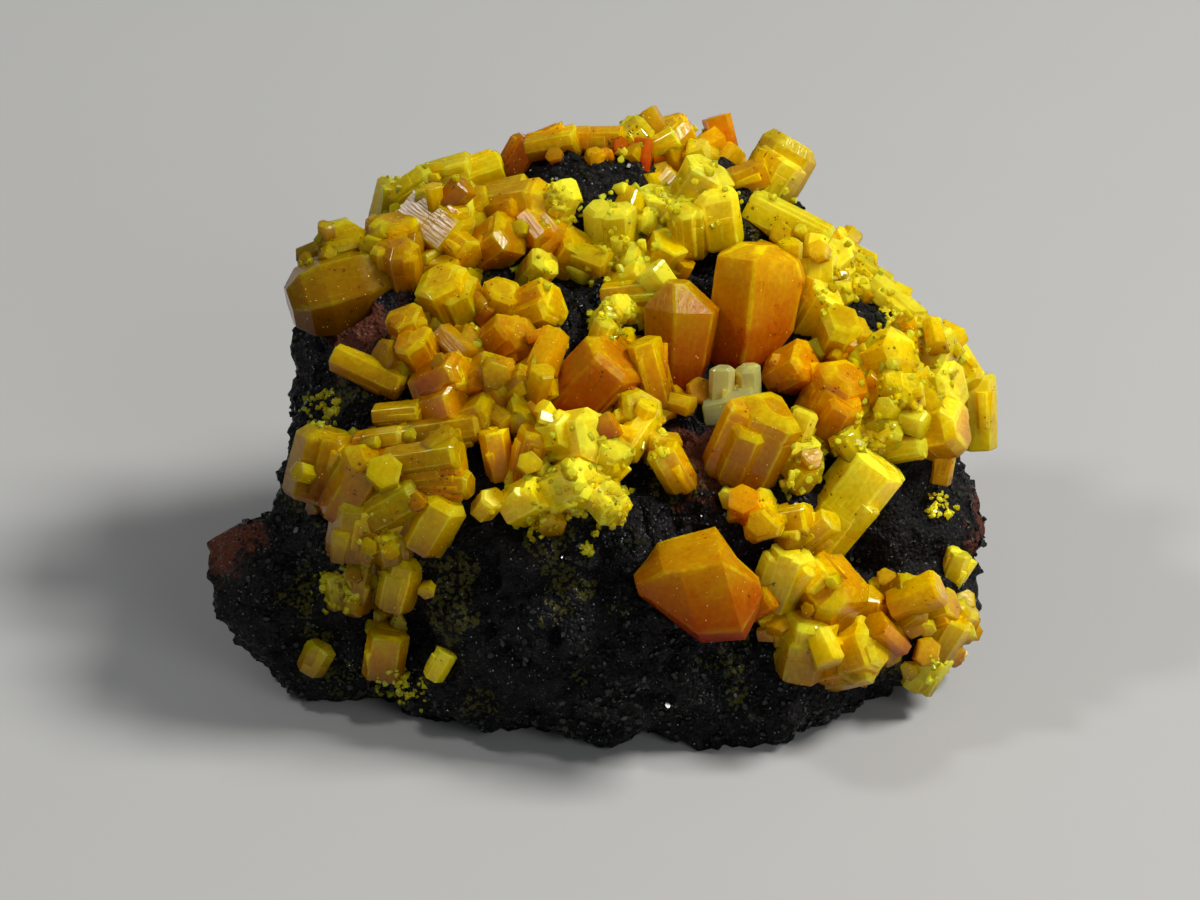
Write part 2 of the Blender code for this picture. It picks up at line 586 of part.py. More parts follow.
def build():
    """Make the rock, then each group of crystals, cut clear of the rock and of the groups before it."""
    for old in list(bpy.data.objects):
        bpy.data.objects.remove(old)
    rock = make_rock("matrix_rock")
    paint(rock, GOSSAN)
    tree = rock_tree(rock)
    grown_rock = make_rock("rock_cutter", ROCK_GROWTH, CUTTER_FLOOR)
    pieces, neighbours = [rock], []
    for name, tone, view, crystals in GROUPS:
        seats = [(crystal, view.seat(crystal, tree)) for crystal in crystals]
        group = make_crystal(name, *seats[0])
        for crystal, place in seats[1:]:
            joined = make_crystal("joined", crystal, place)
            combine(group, joined, "UNION")
            discard(joined)
        combine(group, grown_rock, "DIFFERENCE")
        for cutter in neighbours:
            if boxes_meet(group, cutter):
                combine(group, cutter, "DIFFERENCE")
        keep_largest_part(group)
        paint(group, tone)
        pieces.append(group)
        neighbours += [make_crystal(f"{name}_room", crystal, place, GAP) for crystal, place in seats]
    for cutter in (*neighbours, grown_rock):
        discard(cutter)
    for piece in pieces:
        piece.data.transform(Matrix.Translation(TO_ORIGIN * MM))


build()
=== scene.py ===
"""Mimetite on matrix, dressed for the camera: gossan rock, mimetite prisms, druse and crystal crust.

Lengths are millimetres in the frame in which the specimen was laid out, until a skin becomes a mesh
in metres in the row's frame. Colours are linear RGB.
"""

from __future__ import annotations

import logging
import math
from dataclasses import dataclass, field
from enum import Enum

import bpy
import numpy as np
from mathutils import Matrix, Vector
from mathutils.bvhtree import BVHTree

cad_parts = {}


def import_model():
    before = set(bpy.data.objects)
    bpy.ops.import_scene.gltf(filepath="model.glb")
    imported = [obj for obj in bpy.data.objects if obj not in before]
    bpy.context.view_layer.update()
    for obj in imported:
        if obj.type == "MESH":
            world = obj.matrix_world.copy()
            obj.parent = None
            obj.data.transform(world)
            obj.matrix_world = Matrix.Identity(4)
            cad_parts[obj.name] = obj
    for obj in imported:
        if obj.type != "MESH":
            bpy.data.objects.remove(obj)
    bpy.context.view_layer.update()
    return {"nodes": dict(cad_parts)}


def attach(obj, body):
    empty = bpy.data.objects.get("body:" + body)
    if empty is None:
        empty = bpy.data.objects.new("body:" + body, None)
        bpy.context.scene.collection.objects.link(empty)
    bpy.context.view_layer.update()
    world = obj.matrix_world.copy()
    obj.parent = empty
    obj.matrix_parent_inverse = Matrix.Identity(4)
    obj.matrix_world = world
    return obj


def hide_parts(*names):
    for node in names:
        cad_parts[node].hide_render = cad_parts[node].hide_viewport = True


LOG = logging.getLogger("mimetite")

MM = 0.001
TO_ORIGIN = np.array((-0.3, 1.45, 0.0))
SEED = 7

EYE_ELEVATION = 32.0
EYE_DISTANCE = 300.0
LOOK_AT = np.array((0.0, 0.0, 9.4))

TINY = 1e-6

Array = np.ndarray
Triple = tuple[float, float, float]
Rings = tuple[tuple[float, tuple[float, ...]], ...]
Socket = bpy.types.NodeSocket


# Views and noise


class SightView:
    """A viewpoint from which pieces are laid out, in millimetres across and up from its middle."""

    def __init__(self, azimuth: float, elevation: float = EYE_ELEVATION) -> None:
        """Set the viewpoint.

        Args:
            azimuth: degrees round the specimen, 0 at its front and 90 at its right.
            elevation: degrees above the horizon.
        """
        turn, rise = math.radians(azimuth), math.radians(elevation)
        level = math.cos(rise)
        self.back = np.array((math.sin(turn) * level, -math.cos(turn) * level, math.sin(rise)))
        self.right = np.array((math.cos(turn), math.sin(turn), 0.0))
        self.up = np.cross(self.back, self.right)
        self.eye = LOOK_AT + self.back * EYE_DISTANCE

    def sight(self, across: float, up: float) -> Array:
        """Unit direction of the line of sight through a point of the view."""
        line = LOOK_AT + self.right * across + self.up * up - self.eye
        return line / np.linalg.norm(line)

    def shown_at(self, points: Array) -> tuple[Array, Array]:
        """Where points show in the view.

        Args:
            points: places, one per row.

        Returns:
            Their positions across and up, foreshortened as a camera sees them.
        """
        reach = points - self.eye
        depth = -(reach @ self.back)
        return reach @ self.right * EYE_DISTANCE / depth, reach @ self.up * EYE_DISTANCE / depth


FRONT = SightView(0)
BACK = SightView(180)
LEFT = SightView(270)
RIGHT = SightView(90)


def scrambled(keys: Array) -> Array:
    """A number from 0 to 1 for each whole-numbered lattice corner: the fraction of a large sine."""
    return np.modf(np.abs(np.sin(keys @ np.array((127.1, 311.7, 74.7))) * 43758.5453))[0]


def lattice_noise(points: Array, size: float, seed: int) -> Array:
    """Smooth noise: scrambled values at the corners of a lattice, blended by a cubic.

    Args:
        points: places, one per row.
        size: width of a lump.
        seed: which pattern.

    Returns:
        A value from -1 to 1 for each place.
    """
    grid = points / size + 17.0 * seed
    cell = np.floor(grid)
    part = grid - cell
    part = part * part * (3 - 2 * part)
    total = np.zeros(len(points))
    for corner in np.ndindex(2, 2, 2):
        weight = np.prod(np.where(corner, part, 1 - part), axis=1)
        total += weight * scrambled(cell + corner)
    return total * 2 - 1


def cell_noise(points: Array, size: float, seed: int) -> Array:
    """Distance to the nearest of scattered points, one in each cell of a lattice.

    Args:
        points: places, one per row.
        size: width of a cell.
        seed: which pattern.

    Returns:
        The distance as a share of a cell, about 0 to 1.
    """
    grid = points / size + 31.0 * seed
    cell = np.floor(grid)
    nearest = np.full(len(points), 9.0)
    for step in np.ndindex(3, 3, 3):
        corner = cell + np.array(step) - 1
        jitter = np.stack([scrambled(corner + shift) for shift in (0.0, 5.3, 11.9)], axis=1)
        nearest = np.minimum(nearest, np.linalg.norm(corner + jitter - grid, axis=1))
    return nearest


# Skins: meshes as whole arrays


@dataclass
class Skin:
    """A closed surface as arrays, with values carried on its vertices.

    Attributes:
        vertices: places in millimetres, one per row.
        faces: vertex numbers of quads and triangles; a triangle's fourth is -1.
        marks: values of each vertex by name, a number or a vector each.
    """

    vertices: Array
    faces: Array
    marks: dict[str, Array] = field(default_factory=dict)

    @staticmethod
    def joined(skins: list[Skin]) -> Skin:
        """One skin that holds several, with the marks that they all have."""
        starts = np.cumsum([0] + [len(skin.vertices) for skin in skins[:-1]])
        faces = [np.where(skin.faces < 0, -1, skin.faces + start) for skin, start in zip(skins, starts)]
        names = set.intersection(*(set(skin.marks) for skin in skins))
        marks = {name: np.concatenate([skin.marks[name] for skin in skins]) for name in sorted(names)}
        return Skin(np.concatenate([skin.vertices for skin in skins]), np.concatenate(faces), marks)

    def to_object(self, name: str) -> bpy.types.Object:
        """Make the skin a mesh object in metres, at the origin.

        Args:
            name: the object's name.

        Returns:
            The object, linked to the scene.
        """
        mesh = bpy.data.meshes.new(name)
        quads = self.faces[self.faces[:, 3] >= 0].tolist()
        triangles = self.faces[self.faces[:, 3] < 0, :3].tolist()
        mesh.from_pydata(((self.vertices + TO_ORIGIN) * MM).tolist(), [], quads + triangles)
        for label, values in self.marks.items():
            kind, slot = ("FLOAT", "value") if values.ndim == 1 else ("FLOAT_VECTOR", "vector")
            mark = mesh.attributes.new(label, kind, "POINT")
            mark.data.foreach_set(slot, np.ascontiguousarray(values, dtype=np.float32).ravel())
        mesh.validate()
        obj = bpy.data.objects.new(name, mesh)
        bpy.context.scene.collection.objects.link(obj)
        return obj

    def corners(self) -> Array:
        """The corners of its triangles, each quad as two, as an array of triangles by 3 by 3."""
        first = self.faces[:, :3]
        quads = self.faces[self.faces[:, 3] >= 0]
        return self.vertices[np.concatenate((first, quads[:, [0, 2, 3]]))]


def ring_faces(rows: int, columns: int) -> Array:
    """Quads between neighbouring rings of vertices.

    Args:
        rows: how many rings.
        columns: vertices in a ring.

    Returns:
        Vertex numbers, ring by ring, wound so that faces look outwards when rings go up.
    """
    row, column = np.meshgrid(np.arange(rows - 1), np.arange(columns), indexing="ij")
    after = (column + 1) % columns
    low, high = row * columns, (row + 1) * columns
    return np.stack((low + column, low + after, high + after, high + column), -1).reshape(-1, 4)


def fan_faces(ring_start: int, columns: int, centre: int, upward: bool) -> Array:
    """Triangles that close a ring to one centre vertex, looking up or down."""
    column = np.arange(columns)
    here, after = ring_start + column, ring_start + (column + 1) % columns
    hub = np.full(columns, centre)
    sides = (here, after, hub) if upward else (after, here, hub)
    return np.stack((*sides, np.full(columns, -1)), -1)


# The rock


@dataclass(frozen=True)
class Lump:
    """One ellipsoid of the rock: its centre and radii."""

    centre: Triple
    radii: Triple

    def exit(self, heart: Array, directions: Array) -> Array:
        """Distance at which each line from the heart leaves the ellipsoid, or 0 where it misses it.

        The line meets it where a quadratic in the distance is zero; this is the larger root.
        """
        radii = np.array(self.radii)
        start = (heart - np.array(self.centre)) / radii
        along = directions / radii
        a = (along * along).sum(1)
        b = (along * start).sum(1)
        inside = b * b - a * ((start * start).sum() - 1.0)
        return np.where(inside > 0, (-b + np.sqrt(np.maximum(inside, 0))) / a, 0.0).clip(0)


@dataclass
class GossanRock:
    """The matrix: lumps of iron oxide seen from one heart, with crags, ledges and pits on them.

    Attributes:
        heart: the place that its skin is measured from.
        lumps: its ellipsoids.
        sharpness: power of the soft maximum that blends them.
        crags, fine_crags, sharp_ridges, knobs: size, height and noise seed of each layer.
        ridge_size, ridge_height, ridge_seed: the same of its broad ridges.
        ridge_level, sharp_level, knob_level: the noise value at which each neither adds nor takes.
        warp_size, warp_reach, warp_seeds: the noise that bends the sharp ridges and knobs.
        rows, columns: rings of the skin, and vertices in a ring.
    """

    heart: Triple = (0.0, -0.5, 8.5)
    lumps: tuple[Lump, ...] = (
        Lump((0.0, -3.6, 5.0), (12.6, 9.6, 9.0)),
        Lump((0.0, -4.0, 9.0), (13.0, 8.3, 6.8)),
        Lump((0.0, 1.0, 12.0), (12.0, 7.0, 6.4)),
        Lump((0.0, 4.4, 8.0), (12.5, 8.4, 9.5)),
        Lump((-8.8, 0.5, 10.5), (6.0, 7.2, 7.0)),
        Lump((-9.6, 2.5, 12.6), (4.9, 5.6, 5.6)),
        Lump((-11.0, -3.5, 8.0), (4.4, 5.5, 5.0)),
        Lump((-16.0, -6.0, 5.6), (3.3, 3.2, 3.1)),
        Lump((-12.5, -5.0, 5.0), (4.6, 4.0, 3.6)),
        Lump((-13.0, -4.6, 2.8), (4.4, 4.4, 3.6)),
        Lump((-8.0, -7.0, 2.5), (5.0, 4.6, 4.0)),
        Lump((-6.5, 5.5, 14.6), (5.2, 4.8, 5.2)),
        Lump((-0.5, 7.6, 17.6), (4.2, 4.0, 4.9)),
        Lump((6.6, 7.4, 15.8), (4.6, 4.4, 5.4)),
        Lump((10.5, 1.5, 11.5), (6.2, 6.8, 6.0)),
        Lump((13.9, -1.5, 7.2), (4.2, 5.6, 6.4)),
        Lump((12.6, -6.0, 3.2), (5.4, 4.8, 3.9)),
        Lump((7.0, -8.0, 2.5), (5.0, 4.4, 4.0)),
    )
    sharpness: float = 14.0
    crags: tuple[tuple[float, float, int], ...] = ((5.0, 1.0, 1), (2.4, 0.5, 2))
    fine_crags: tuple[tuple[float, float, int], ...] = ((1.1, 0.34, 5), (0.55, 0.22, 6), (0.3, 0.12, 7))
    ridge_size: float = 3.3
    ridge_height: float = 0.7
    ridge_seed: int = 3
    ridge_level: float = 0.5
    sharp_ridges: tuple[tuple[float, float, int], ...] = ((1.9, 0.55, 31), (0.95, 0.3, 32), (0.5, 0.14, 33))
    sharp_level: float = 0.3
    knobs: tuple[tuple[float, float, int], ...] = ((2.6, 0.6, 11), (1.1, 0.3, 12), (0.6, 0.14, 13))
    knob_level: float = 0.35
    warp_size: float = 1.7
    warp_reach: float = 0.4
    warp_seeds: tuple[int, ...] = (21, 22, 23)
    rows: int = 215
    columns: int = 450

    def surface(self, directions: Array) -> Array:
        """The rock's skin along each direction from its heart.

        The distance is a soft maximum of the lumps' exits, plus smooth crags, sharp ridges where a
        noise changes sign, and round knobs about scattered points. Below the ground it stops on it.
        """
        heart = np.array(self.heart)
        exits = np.array([lump.exit(heart, directions) for lump in self.lumps])
        radius = (exits**self.sharpness).sum(0) ** (1 / self.sharpness)
        points = heart + directions * radius[:, None]
        for size, height, seed in self.crags + self.fine_crags:
            radius = radius + height * lattice_noise(points, size, seed)
        ridges = np.abs(lattice_noise(points, self.ridge_size, self.ridge_seed))
        radius += self.ridge_height * (self.ridge_level - ridges)
        bends = [lattice_noise(points, self.warp_size, seed) for seed in self.warp_seeds]
        warped = points + np.stack(bends, axis=1) * self.warp_reach
        for size, height, seed in self.sharp_ridges:
            radius += height * (self.sharp_level - np.abs(lattice_noise(warped, size, seed)))
        for size, height, seed in self.knobs:
            radius += height * (self.knob_level - cell_noise(warped, size, seed))
        fall = np.maximum(-directions[:, 2], TINY)
        ground = np.where(fall > TINY, heart[2] / fall, np.inf)
        return heart + directions * np.minimum(radius, ground)[:, None]

    def skin(self) -> Skin:
        """The rock as rings from the ground up, over turn and rise, closed at both poles."""
        rise = (np.arange(self.rows) + 0.5) / self.rows * math.pi - math.pi / 2
        turn = np.arange(self.columns) / self.columns * 2 * math.pi
        rise, turn = np.meshgrid(rise, turn, indexing="ij")
        directions = np.stack((np.cos(rise) * np.cos(turn), np.cos(rise) * np.sin(turn), np.sin(rise)), -1)
        directions = np.concatenate((directions.reshape(-1, 3), ((0, 0, -1), (0, 0, 1))))
        low, high = len(directions) - 2, len(directions) - 1
        faces = (
            ring_faces(self.rows, self.columns),
            fan_faces(0, self.columns, low, upward=False),
            fan_faces((self.rows - 1) * self.columns, self.columns, high, upward=True),
        )
        return Skin(self.surface(directions), np.concatenate(faces))


# Crystals


@dataclass(frozen=True)
class Crystal:
    """A hexagonal prism laid out in a view.

    Attributes:
        across, up: where its middle shows.
        radius, length: to its corners, and along its axis.
        lean: angle of its axis in the view, from the right anticlockwise.
        toward: tilt of its growing end to the eye.
        roll: turn about its axis.
        out: how far it stands off the rock.
        tone: colour from 0, deep orange, to 1, pale lemon.
        shape: rings from root to end, each a height from -1 to 1 and six faces' distances as
            shares of a regular prism's, or nothing for a plain prism.
    """

    across: float
    up: float
    radius: float
    length: float
    lean: float
    toward: float
    roll: float = 0.0
    out: float = 0.0
    tone: float = 0.4
    shape: Rings = ()

    def seat(self, view: SightView, rock: BVHTree) -> tuple[Array, Array]:
        """Its place: where its line of sight meets the rock, or passes nearest to it.

        Args:
            view: the view that it is laid out in.
            rock: the rock's surface in millimetres.

        Returns:
            Its middle, and its frame as rows: a face's direction, the direction beside, its axis.
        """
        sight = view.sight(self.across, self.up)
        hit = rock.ray_cast(Vector(view.eye), Vector(sight))[0]
        if hit is None:
            passing = [Vector(view.eye + sight * (EYE_DISTANCE + step)) for step in range(-20, 21)]
            hit = min(passing, key=lambda place: rock.find_nearest(place)[3])
        lean, toward, roll = (math.radians(angle) for angle in (self.lean, self.toward, self.roll))
        flat = view.right * math.cos(lean) + view.up * math.sin(lean)
        axis = flat * math.cos(toward) + view.back * math.sin(toward)
        face = view.back * math.cos(toward) - flat * math.sin(toward)
        beside = np.cross(axis, face)
        turned = face * math.cos(roll) + beside * math.sin(roll)
        frame = np.stack((turned, np.cross(axis, turned), axis))
        return np.array(hit) - sight * self.out, frame


@dataclass(frozen=True)
class PrismCut:
    """How finely a prism is cut.

    Attributes:
        steps: growth steps along its faces.
        depth: how far a face moves at a growth step, as a share of the radius.
        chamfer: width of the worn corner between two faces, as a share of the radius, or 0.
        terrace: whether its flat end has a raised terrace.
        uneven: how much its six faces differ in distance, as a share of the radius.
        rim: smallest and largest bevel round its end, as a share of the radius.
    """

    steps: int
    depth: float
    chamfer: float
    terrace: bool
    uneven: float
    rim: tuple[float, float]


FINE = PrismCut(steps=2, depth=0.02, chamfer=0.03, terrace=True, uneven=0.22, rim=(0.08, 0.34))
PLAIN = PrismCut(steps=1, depth=0.03, chamfer=0.035, terrace=False, uneven=0.24, rim=(0.06, 0.3))
GRAIN = PrismCut(steps=0, depth=0.0, chamfer=0.0, terrace=False, uneven=0.26, rim=(0.03, 0.2))

# A plain prism's outline: how far its faces stray as a share of the cut's unevenness, then their
# distances at the root and just above it as shares of the full ones.
FACE_STRAY = (-1.0, 0.35)
ROOT_SHARES = (0.86, 0.97)

# Its growth steps: how far from the middle as a share of the half length, how deep as a share of
# the cut's depth, and half the width of a step's edge as a share of the radius.
STEP_SPAN = 0.75
STEP_STRAY = (-0.5, 1.0)
STEP_EDGE = 0.012

# Shares of the radius: where the worn corners begin below the rim, the least gap between two rings,
# and the heights of the terrace's foot and top. Shares of a face: the terrace's size and foot.
WORN_LENGTH = 0.12
LEAST_GAP = 0.01
TERRACE_HEIGHTS = (0.001, 0.016)
TERRACE_SIZES = (0.55, 0.9)
TERRACE_FOOT = 1.03
WIDEST_CHAMFER = 0.3

# How prisms differ: places from left to right and the painted shade there, which darkens them towards the
# left, and how far each one strays.
PAINTED_SHADE_BY_PLACE = ((-16.0, -11.0, -4.0, 4.0), (0.36, 0.64, 0.92, 1.0))
SHADE_STRAY = (0.74, 1.1)
TONE_STRAY = 0.07


@dataclass
class PrismBatch:
    """Many prisms of one cut, worked out together.

    Attributes:
        cut: how finely they are cut.
        middles: their middles, one per row.
        frames: their frames, a 3 by 3 array each.
        radii, lengths, tones: one number each.
        shape: rings that they all follow in place of a plain prism's.
    """

    cut: PrismCut
    middles: Array
    frames: Array
    radii: Array
    lengths: Array
    tones: Array
    shape: Rings = ()

    @staticmethod
    def corner_places(distances: Array) -> Array:
        """Corners of a hexagon whose faces lie at given distances.

        Each corner is where two neighbouring face lines cross: their distances combined with the
        sines and cosines of the faces' directions, over the sine of the sixty degrees between them.
        """
        turn = np.radians(60.0 * np.arange(6))
        after = turn + math.radians(60)
        following = np.roll(distances, -1, axis=-1)
        x = (distances * np.sin(after) - following * np.sin(turn)) / math.sin(math.radians(60))
        y = (following * np.cos(turn) - distances * np.cos(after)) / math.sin(math.radians(60))
        return np.stack((x, y), -1)

    def shaped_profile(self) -> tuple[Array, Array]:
        """Heights and face distances as the shape gives them, scaled to each crystal."""
        heights = np.array([height for height, _ in self.shape])
        shares = np.array([distances for _, distances in self.shape])
        flat = self.radii * math.cos(math.radians(30))
        return np.outer(self.lengths / 2, heights), flat[:, None, None] * shares

    def profile(self, rng: np.random.Generator) -> tuple[Array, Array]:
        """Heights of the rings and the distances of the six faces at each.

        A face keeps its distance between growth steps and changes it sharply at one. The end is a
        bevelled rim, wider on some faces than on others, round a flat face with one low terrace.

        Returns:
            Heights, crystals by rings; distances, crystals by rings by six.
        """
        count = len(self.radii)
        flat = self.radii[:, None] * math.cos(math.radians(30))
        distance = flat * (1 + self.cut.uneven * rng.uniform(*FACE_STRAY, (count, 6)))
        half = self.lengths / 2
        rim = self.radii[:, None] * rng.uniform(*self.cut.rim, (count, 6))
        rise = np.minimum(self.radii * rng.uniform(*self.cut.rim, count), half * 0.5)
        at_root, above_root = ROOT_SHARES
        heights, distances = [-half], [distance * at_root]
        if self.cut.steps:
            heights.append(-half + rise * 0.5)
            distances.append(distance * above_root)
            shares = np.sort(rng.uniform(-STEP_SPAN, STEP_SPAN, (count, self.cut.steps)), axis=1)
            places = shares * (half - rise)[:, None]
            level = np.zeros((count, 6))
            edge = self.radii * STEP_EDGE
            for step in range(self.cut.steps):
                heights.append(places[:, step] - edge)
                distances.append(distance - level)
                level = self.radii[:, None] * self.cut.depth * rng.uniform(*STEP_STRAY, (count, 6))
                heights.append(places[:, step] + edge)
                distances.append(distance - level)
            distance = distance - level
            worn = half - rise - self.radii * WORN_LENGTH
            heights.append(np.maximum(worn, heights[-1] + self.radii * LEAST_GAP))
            distances.append(distance)
        heights.append(half - rise)
        distances.append(distance)
        heights.append(half)
        distances.append(distance - rim)
        if self.cut.terrace:
            inner = (distance - rim) * rng.uniform(*TERRACE_SIZES, (count, 6))
            foot, top = TERRACE_HEIGHTS
            heights.append(half + self.radii * foot)
            distances.append(inner * TERRACE_FOOT)
            heights.append(half + self.radii * top)
            distances.append(inner)
        return np.stack(heights, 1), np.stack(distances, 1)

    def skin(self, rng: np.random.Generator) -> Skin:
        """The prisms as one skin, each a stack of hexagon rings closed at both ends.

        A chamfered prism has three vertices to a face, at its two chamfers and in its middle. The
        edge mark is 1 on the chamfers and round the end and 0 in the middle of a face; the high
        mark runs from 0 at a prism's lowest point to 1 at its highest. Each prism strays a little
        in tone and brightness, and a painted shade darkens it towards the specimen's left.
        """
        heights, distances = self.shaped_profile() if self.shape else self.profile(rng)
        corners = self.corner_places(distances)
        count, rows = heights.shape
        columns = 6
        edge = np.zeros((count, rows, columns))
        if self.cut.chamfer:
            following = np.roll(corners, -1, axis=2)
            gap = following - corners
            length = np.linalg.norm(gap, axis=-1, keepdims=True)
            width = (self.radii * self.cut.chamfer)[:, None, None, None]
            width = np.minimum(width, length * WIDEST_CHAMFER)
            inward = gap / np.maximum(length, 1e-9) * width
            columns = 18
            corners = np.stack((corners + inward, (corners + following) / 2, following - inward), axis=3)
            corners = corners.reshape(count, rows, columns, 2)
            edge = np.tile((1.0, 0.0, 1.0), 6) * np.ones((count, rows, 1))
            edge[:, -1] = 1.0
            if not self.shape:
                edge[:, -4 if self.cut.terrace else -2:] = 1.0
        level = np.repeat(heights[:, :, None, None], columns, axis=2)
        rings = np.concatenate((corners, level), -1).reshape(count, rows * columns, 3)
        ends = np.zeros((count, 2, 3))
        ends[:, 0, 2], ends[:, 1, 2] = heights[:, 0], heights[:, -1]
        own = np.concatenate((rings, ends), 1)
        per = rows * columns + 2
        faces = np.concatenate((
            ring_faces(rows, columns),
            fan_faces(0, columns, per - 2, upward=False),
            fan_faces((rows - 1) * columns, columns, per - 1, upward=True),
        ))
        starts = (np.arange(count) * per)[:, None, None]
        numbers = np.where(faces[None] < 0, -1, faces[None] + starts).reshape(-1, 4)
        turned = np.einsum("nvi,nij->nvj", own, self.frames)
        rise = turned[:, :, 2]
        low, high = rise.min(1, keepdims=True), rise.max(1, keepdims=True)
        tips = np.zeros((count, 2))
        tones = np.clip(self.tones + rng.uniform(-TONE_STRAY, TONE_STRAY, count), 0.0, 1.0)
        # Painted shade: each prism is darker the further left it stands, times its own random brightness.
        brightness_with_painted_shade = np.interp(self.middles[:, 0], *PAINTED_SHADE_BY_PLACE) * rng.uniform(*SHADE_STRAY, count)
        marks = {
            "tone": np.repeat(tones, per),
            "shade": np.repeat(brightness_with_painted_shade, per),
            "high": ((rise - low) / (high - low)).ravel(),
            "edge": np.concatenate((edge.reshape(count, -1), tips), 1).ravel(),
            "own_place": own.reshape(-1, 3),
        }
        return Skin((turned + self.middles[:, None]).reshape(-1, 3), numbers, marks)


@dataclass(frozen=True)
class Growth:
    """Lesser crystals that grow out of larger ones, nearly parallel to them.

    Attributes:
        each: how many on a host.
        cut: how finely they are cut.
        size: smallest and largest radius, as a share of the host's.
        aside: how far from the host's axis, as a share of its radius.
        start: where they begin along the host, from -0.5 at its root to 0.5 at its end.
        stop: where they end.
        splay: how far their axes lean outwards.
        tone: how their tone differs from the host's.
    """

    each: int
    cut: PrismCut
    size: tuple[float, float]
    aside: tuple[float, float]
    start: tuple[float, float]
    stop: tuple[float, float]
    splay: tuple[float, float]
    tone: tuple[float, float]

    def on(self, hosts: PrismBatch, rng: np.random.Generator) -> PrismBatch:
        """The lesser crystals of some hosts, each at a random turn about its host's axis.

        Args:
            hosts: the crystals that they grow on.
            rng: the source of chance.

        Returns:
            The lesser crystals.
        """
        owner = np.repeat(np.arange(len(hosts.radii)), self.each)
        count = len(owner)
        frames, radii, lengths = hosts.frames[owner], hosts.radii[owner], hosts.lengths[owner]
        turn = rng.uniform(0.0, 2 * math.pi, count)
        beside = frames[:, 0] * np.cos(turn)[:, None] + frames[:, 1] * np.sin(turn)[:, None]
        low = rng.uniform(*self.start, count) * lengths
        high = rng.uniform(*self.stop, count) * lengths
        middles = hosts.middles[owner] + beside * (radii * rng.uniform(*self.aside, count))[:, None]
        middles += frames[:, 2] * ((low + high) / 2)[:, None]
        axis = frames[:, 2] + beside * rng.uniform(*self.splay, count)[:, None]
        axis /= np.linalg.norm(axis, axis=1, keepdims=True)
        face = frames[:, 0] - axis * np.einsum("ni,ni->n", frames[:, 0], axis)[:, None]
        face /= np.linalg.norm(face, axis=1, keepdims=True)
        turned = np.stack((face, np.cross(axis, face), axis), 1)
        tones = np.clip(hosts.tones[owner] + rng.uniform(*self.tone, count), 0.0, 1.0)
        sizes = radii * rng.uniform(*self.size, count)
        return PrismBatch(self.cut, middles, turned, sizes, high - low, tones)


TWINS = Growth(2, PLAIN, (0.45, 0.8), (0.25, 0.58), (-0.5, -0.3), (0.2, 0.55), (-0.03, 0.08), (-0.06, 0.08))
STUBS = Growth(3, GRAIN, (0.14, 0.38), (0.6, 0.85), (-0.5, -0.1), (0.0, 0.42), (-0.03, 0.25), (-0.05, 0.12))


@dataclass
class CrystalGroup:
    """Crystals grown together, one piece on the rock.

    Attributes:
        node: the solid that the group stands for.
        finish: which mimetite it is.
        view: the view that it is laid out in.
        crystals: its crystals.
        growths: what grows on each of them.
        shade: how much brighter or darker it is than the painted shade of its place alone makes it; partly
            its own colour and partly painted light and shade.
        pale: how far its colour is washed out to grey-green, 0 to 1.
        fine_radius: radius from which a crystal is cut finely.
    """

    node: str
    finish: Tone
    view: SightView
    crystals: tuple[Crystal, ...]
    growths: tuple[Growth, ...] = (TWINS, STUBS)
    shade: float = 1.0
    pale: float = 0.0
    fine_radius: float = 1.15

    def build(self, rock: BVHTree, rng: np.random.Generator) -> Skin:
        """The group's crystals as one skin, the larger ones cut more finely, with what grows on them."""
        skins = []
        for cut in (FINE, PLAIN):
            for shape in dict.fromkeys(item.shape for item in self.crystals):
                batch = self.batch(cut, shape, rock)
                if batch is None:
                    continue
                skins.append(batch.skin(rng))
                skins += [growth.on(batch, rng).skin(rng) for growth in self.growths]
        skin = Skin.joined(skins)
        # The group's factor scales the shade mark: painted light and shade for some groups, own colour for
        # others.
        skin.marks["shade"] = skin.marks["shade"] * self.shade
        skin.marks["pale"] = np.full(len(skin.vertices), self.pale)
        return skin

    def batch(self, cut: PrismCut, shape: Rings, rock: BVHTree) -> PrismBatch | None:
        """The group's crystals of one cut and shape, in their places.

        Args:
            cut: how finely they are cut.
            shape: the rings that they follow.
            rock: the rock's surface in millimetres.

        Returns:
            The crystals, or nothing where the group has none of them.
        """
        fine = [item for item in self.crystals if (item.radius >= self.fine_radius) == (cut is FINE)]
        chosen = [item for item in fine if item.shape == shape]
        if not chosen:
            return None
        seats = [item.seat(self.view, rock) for item in chosen]
        return PrismBatch(
            cut,
            np.array([middle for middle, _ in seats]),
            np.array([frame for _, frame in seats]),
            np.array([item.radius for item in chosen]),
            np.array([item.length for item in chosen]),
            np.array([item.tone for item in chosen]),
            shape,
        )


class Tone(Enum):
    """The kinds of mimetite, each with its slot in the record."""

    ORANGE = "mimetite_orange"
    AMBER = "mimetite_amber"
    LEMON = "mimetite_lemon"


DOMED = (
    (-1.0, (0.62, 0.10, 0.50, 0.60, 0.95, 0.80)),
    (-0.78, (0.80, 0.50, 0.70, 0.70, 1.00, 0.92)),
    (-0.28, (0.96, 0.98, 0.90, 0.90, 1.00, 1.00)),
    (0.5, (1.00, 1.12, 1.00, 1.00, 0.94, 1.00)),
    (0.8, (0.93, 0.98, 0.93, 0.93, 0.90, 0.93)),
    (1.0, (0.34, 0.42, 0.34, 0.34, 0.42, 0.34)),
)
WEDGED = (
    (-1.0, (0.17, -0.03, 0.02, 0.25, 0.45, 0.40)),
    (-0.71, (0.55, 0.38, 0.38, 0.42, 0.67, 0.63)),
    (-0.48, (0.71, 0.74, 0.70, 0.80, 0.91, 0.80)),
    (-0.2, (0.85, 1.16, 0.90, 0.90, 0.91, 0.84)),
    (0.52, (0.92, 1.35, 0.95, 0.90, 0.91, 0.84)),
    (0.75, (0.72, 1.05, 0.70, 0.50, 0.14, 0.46)),
    (1.0, (0.46, 0.64, 0.40, 0.10, -0.27, 0.00)),
)
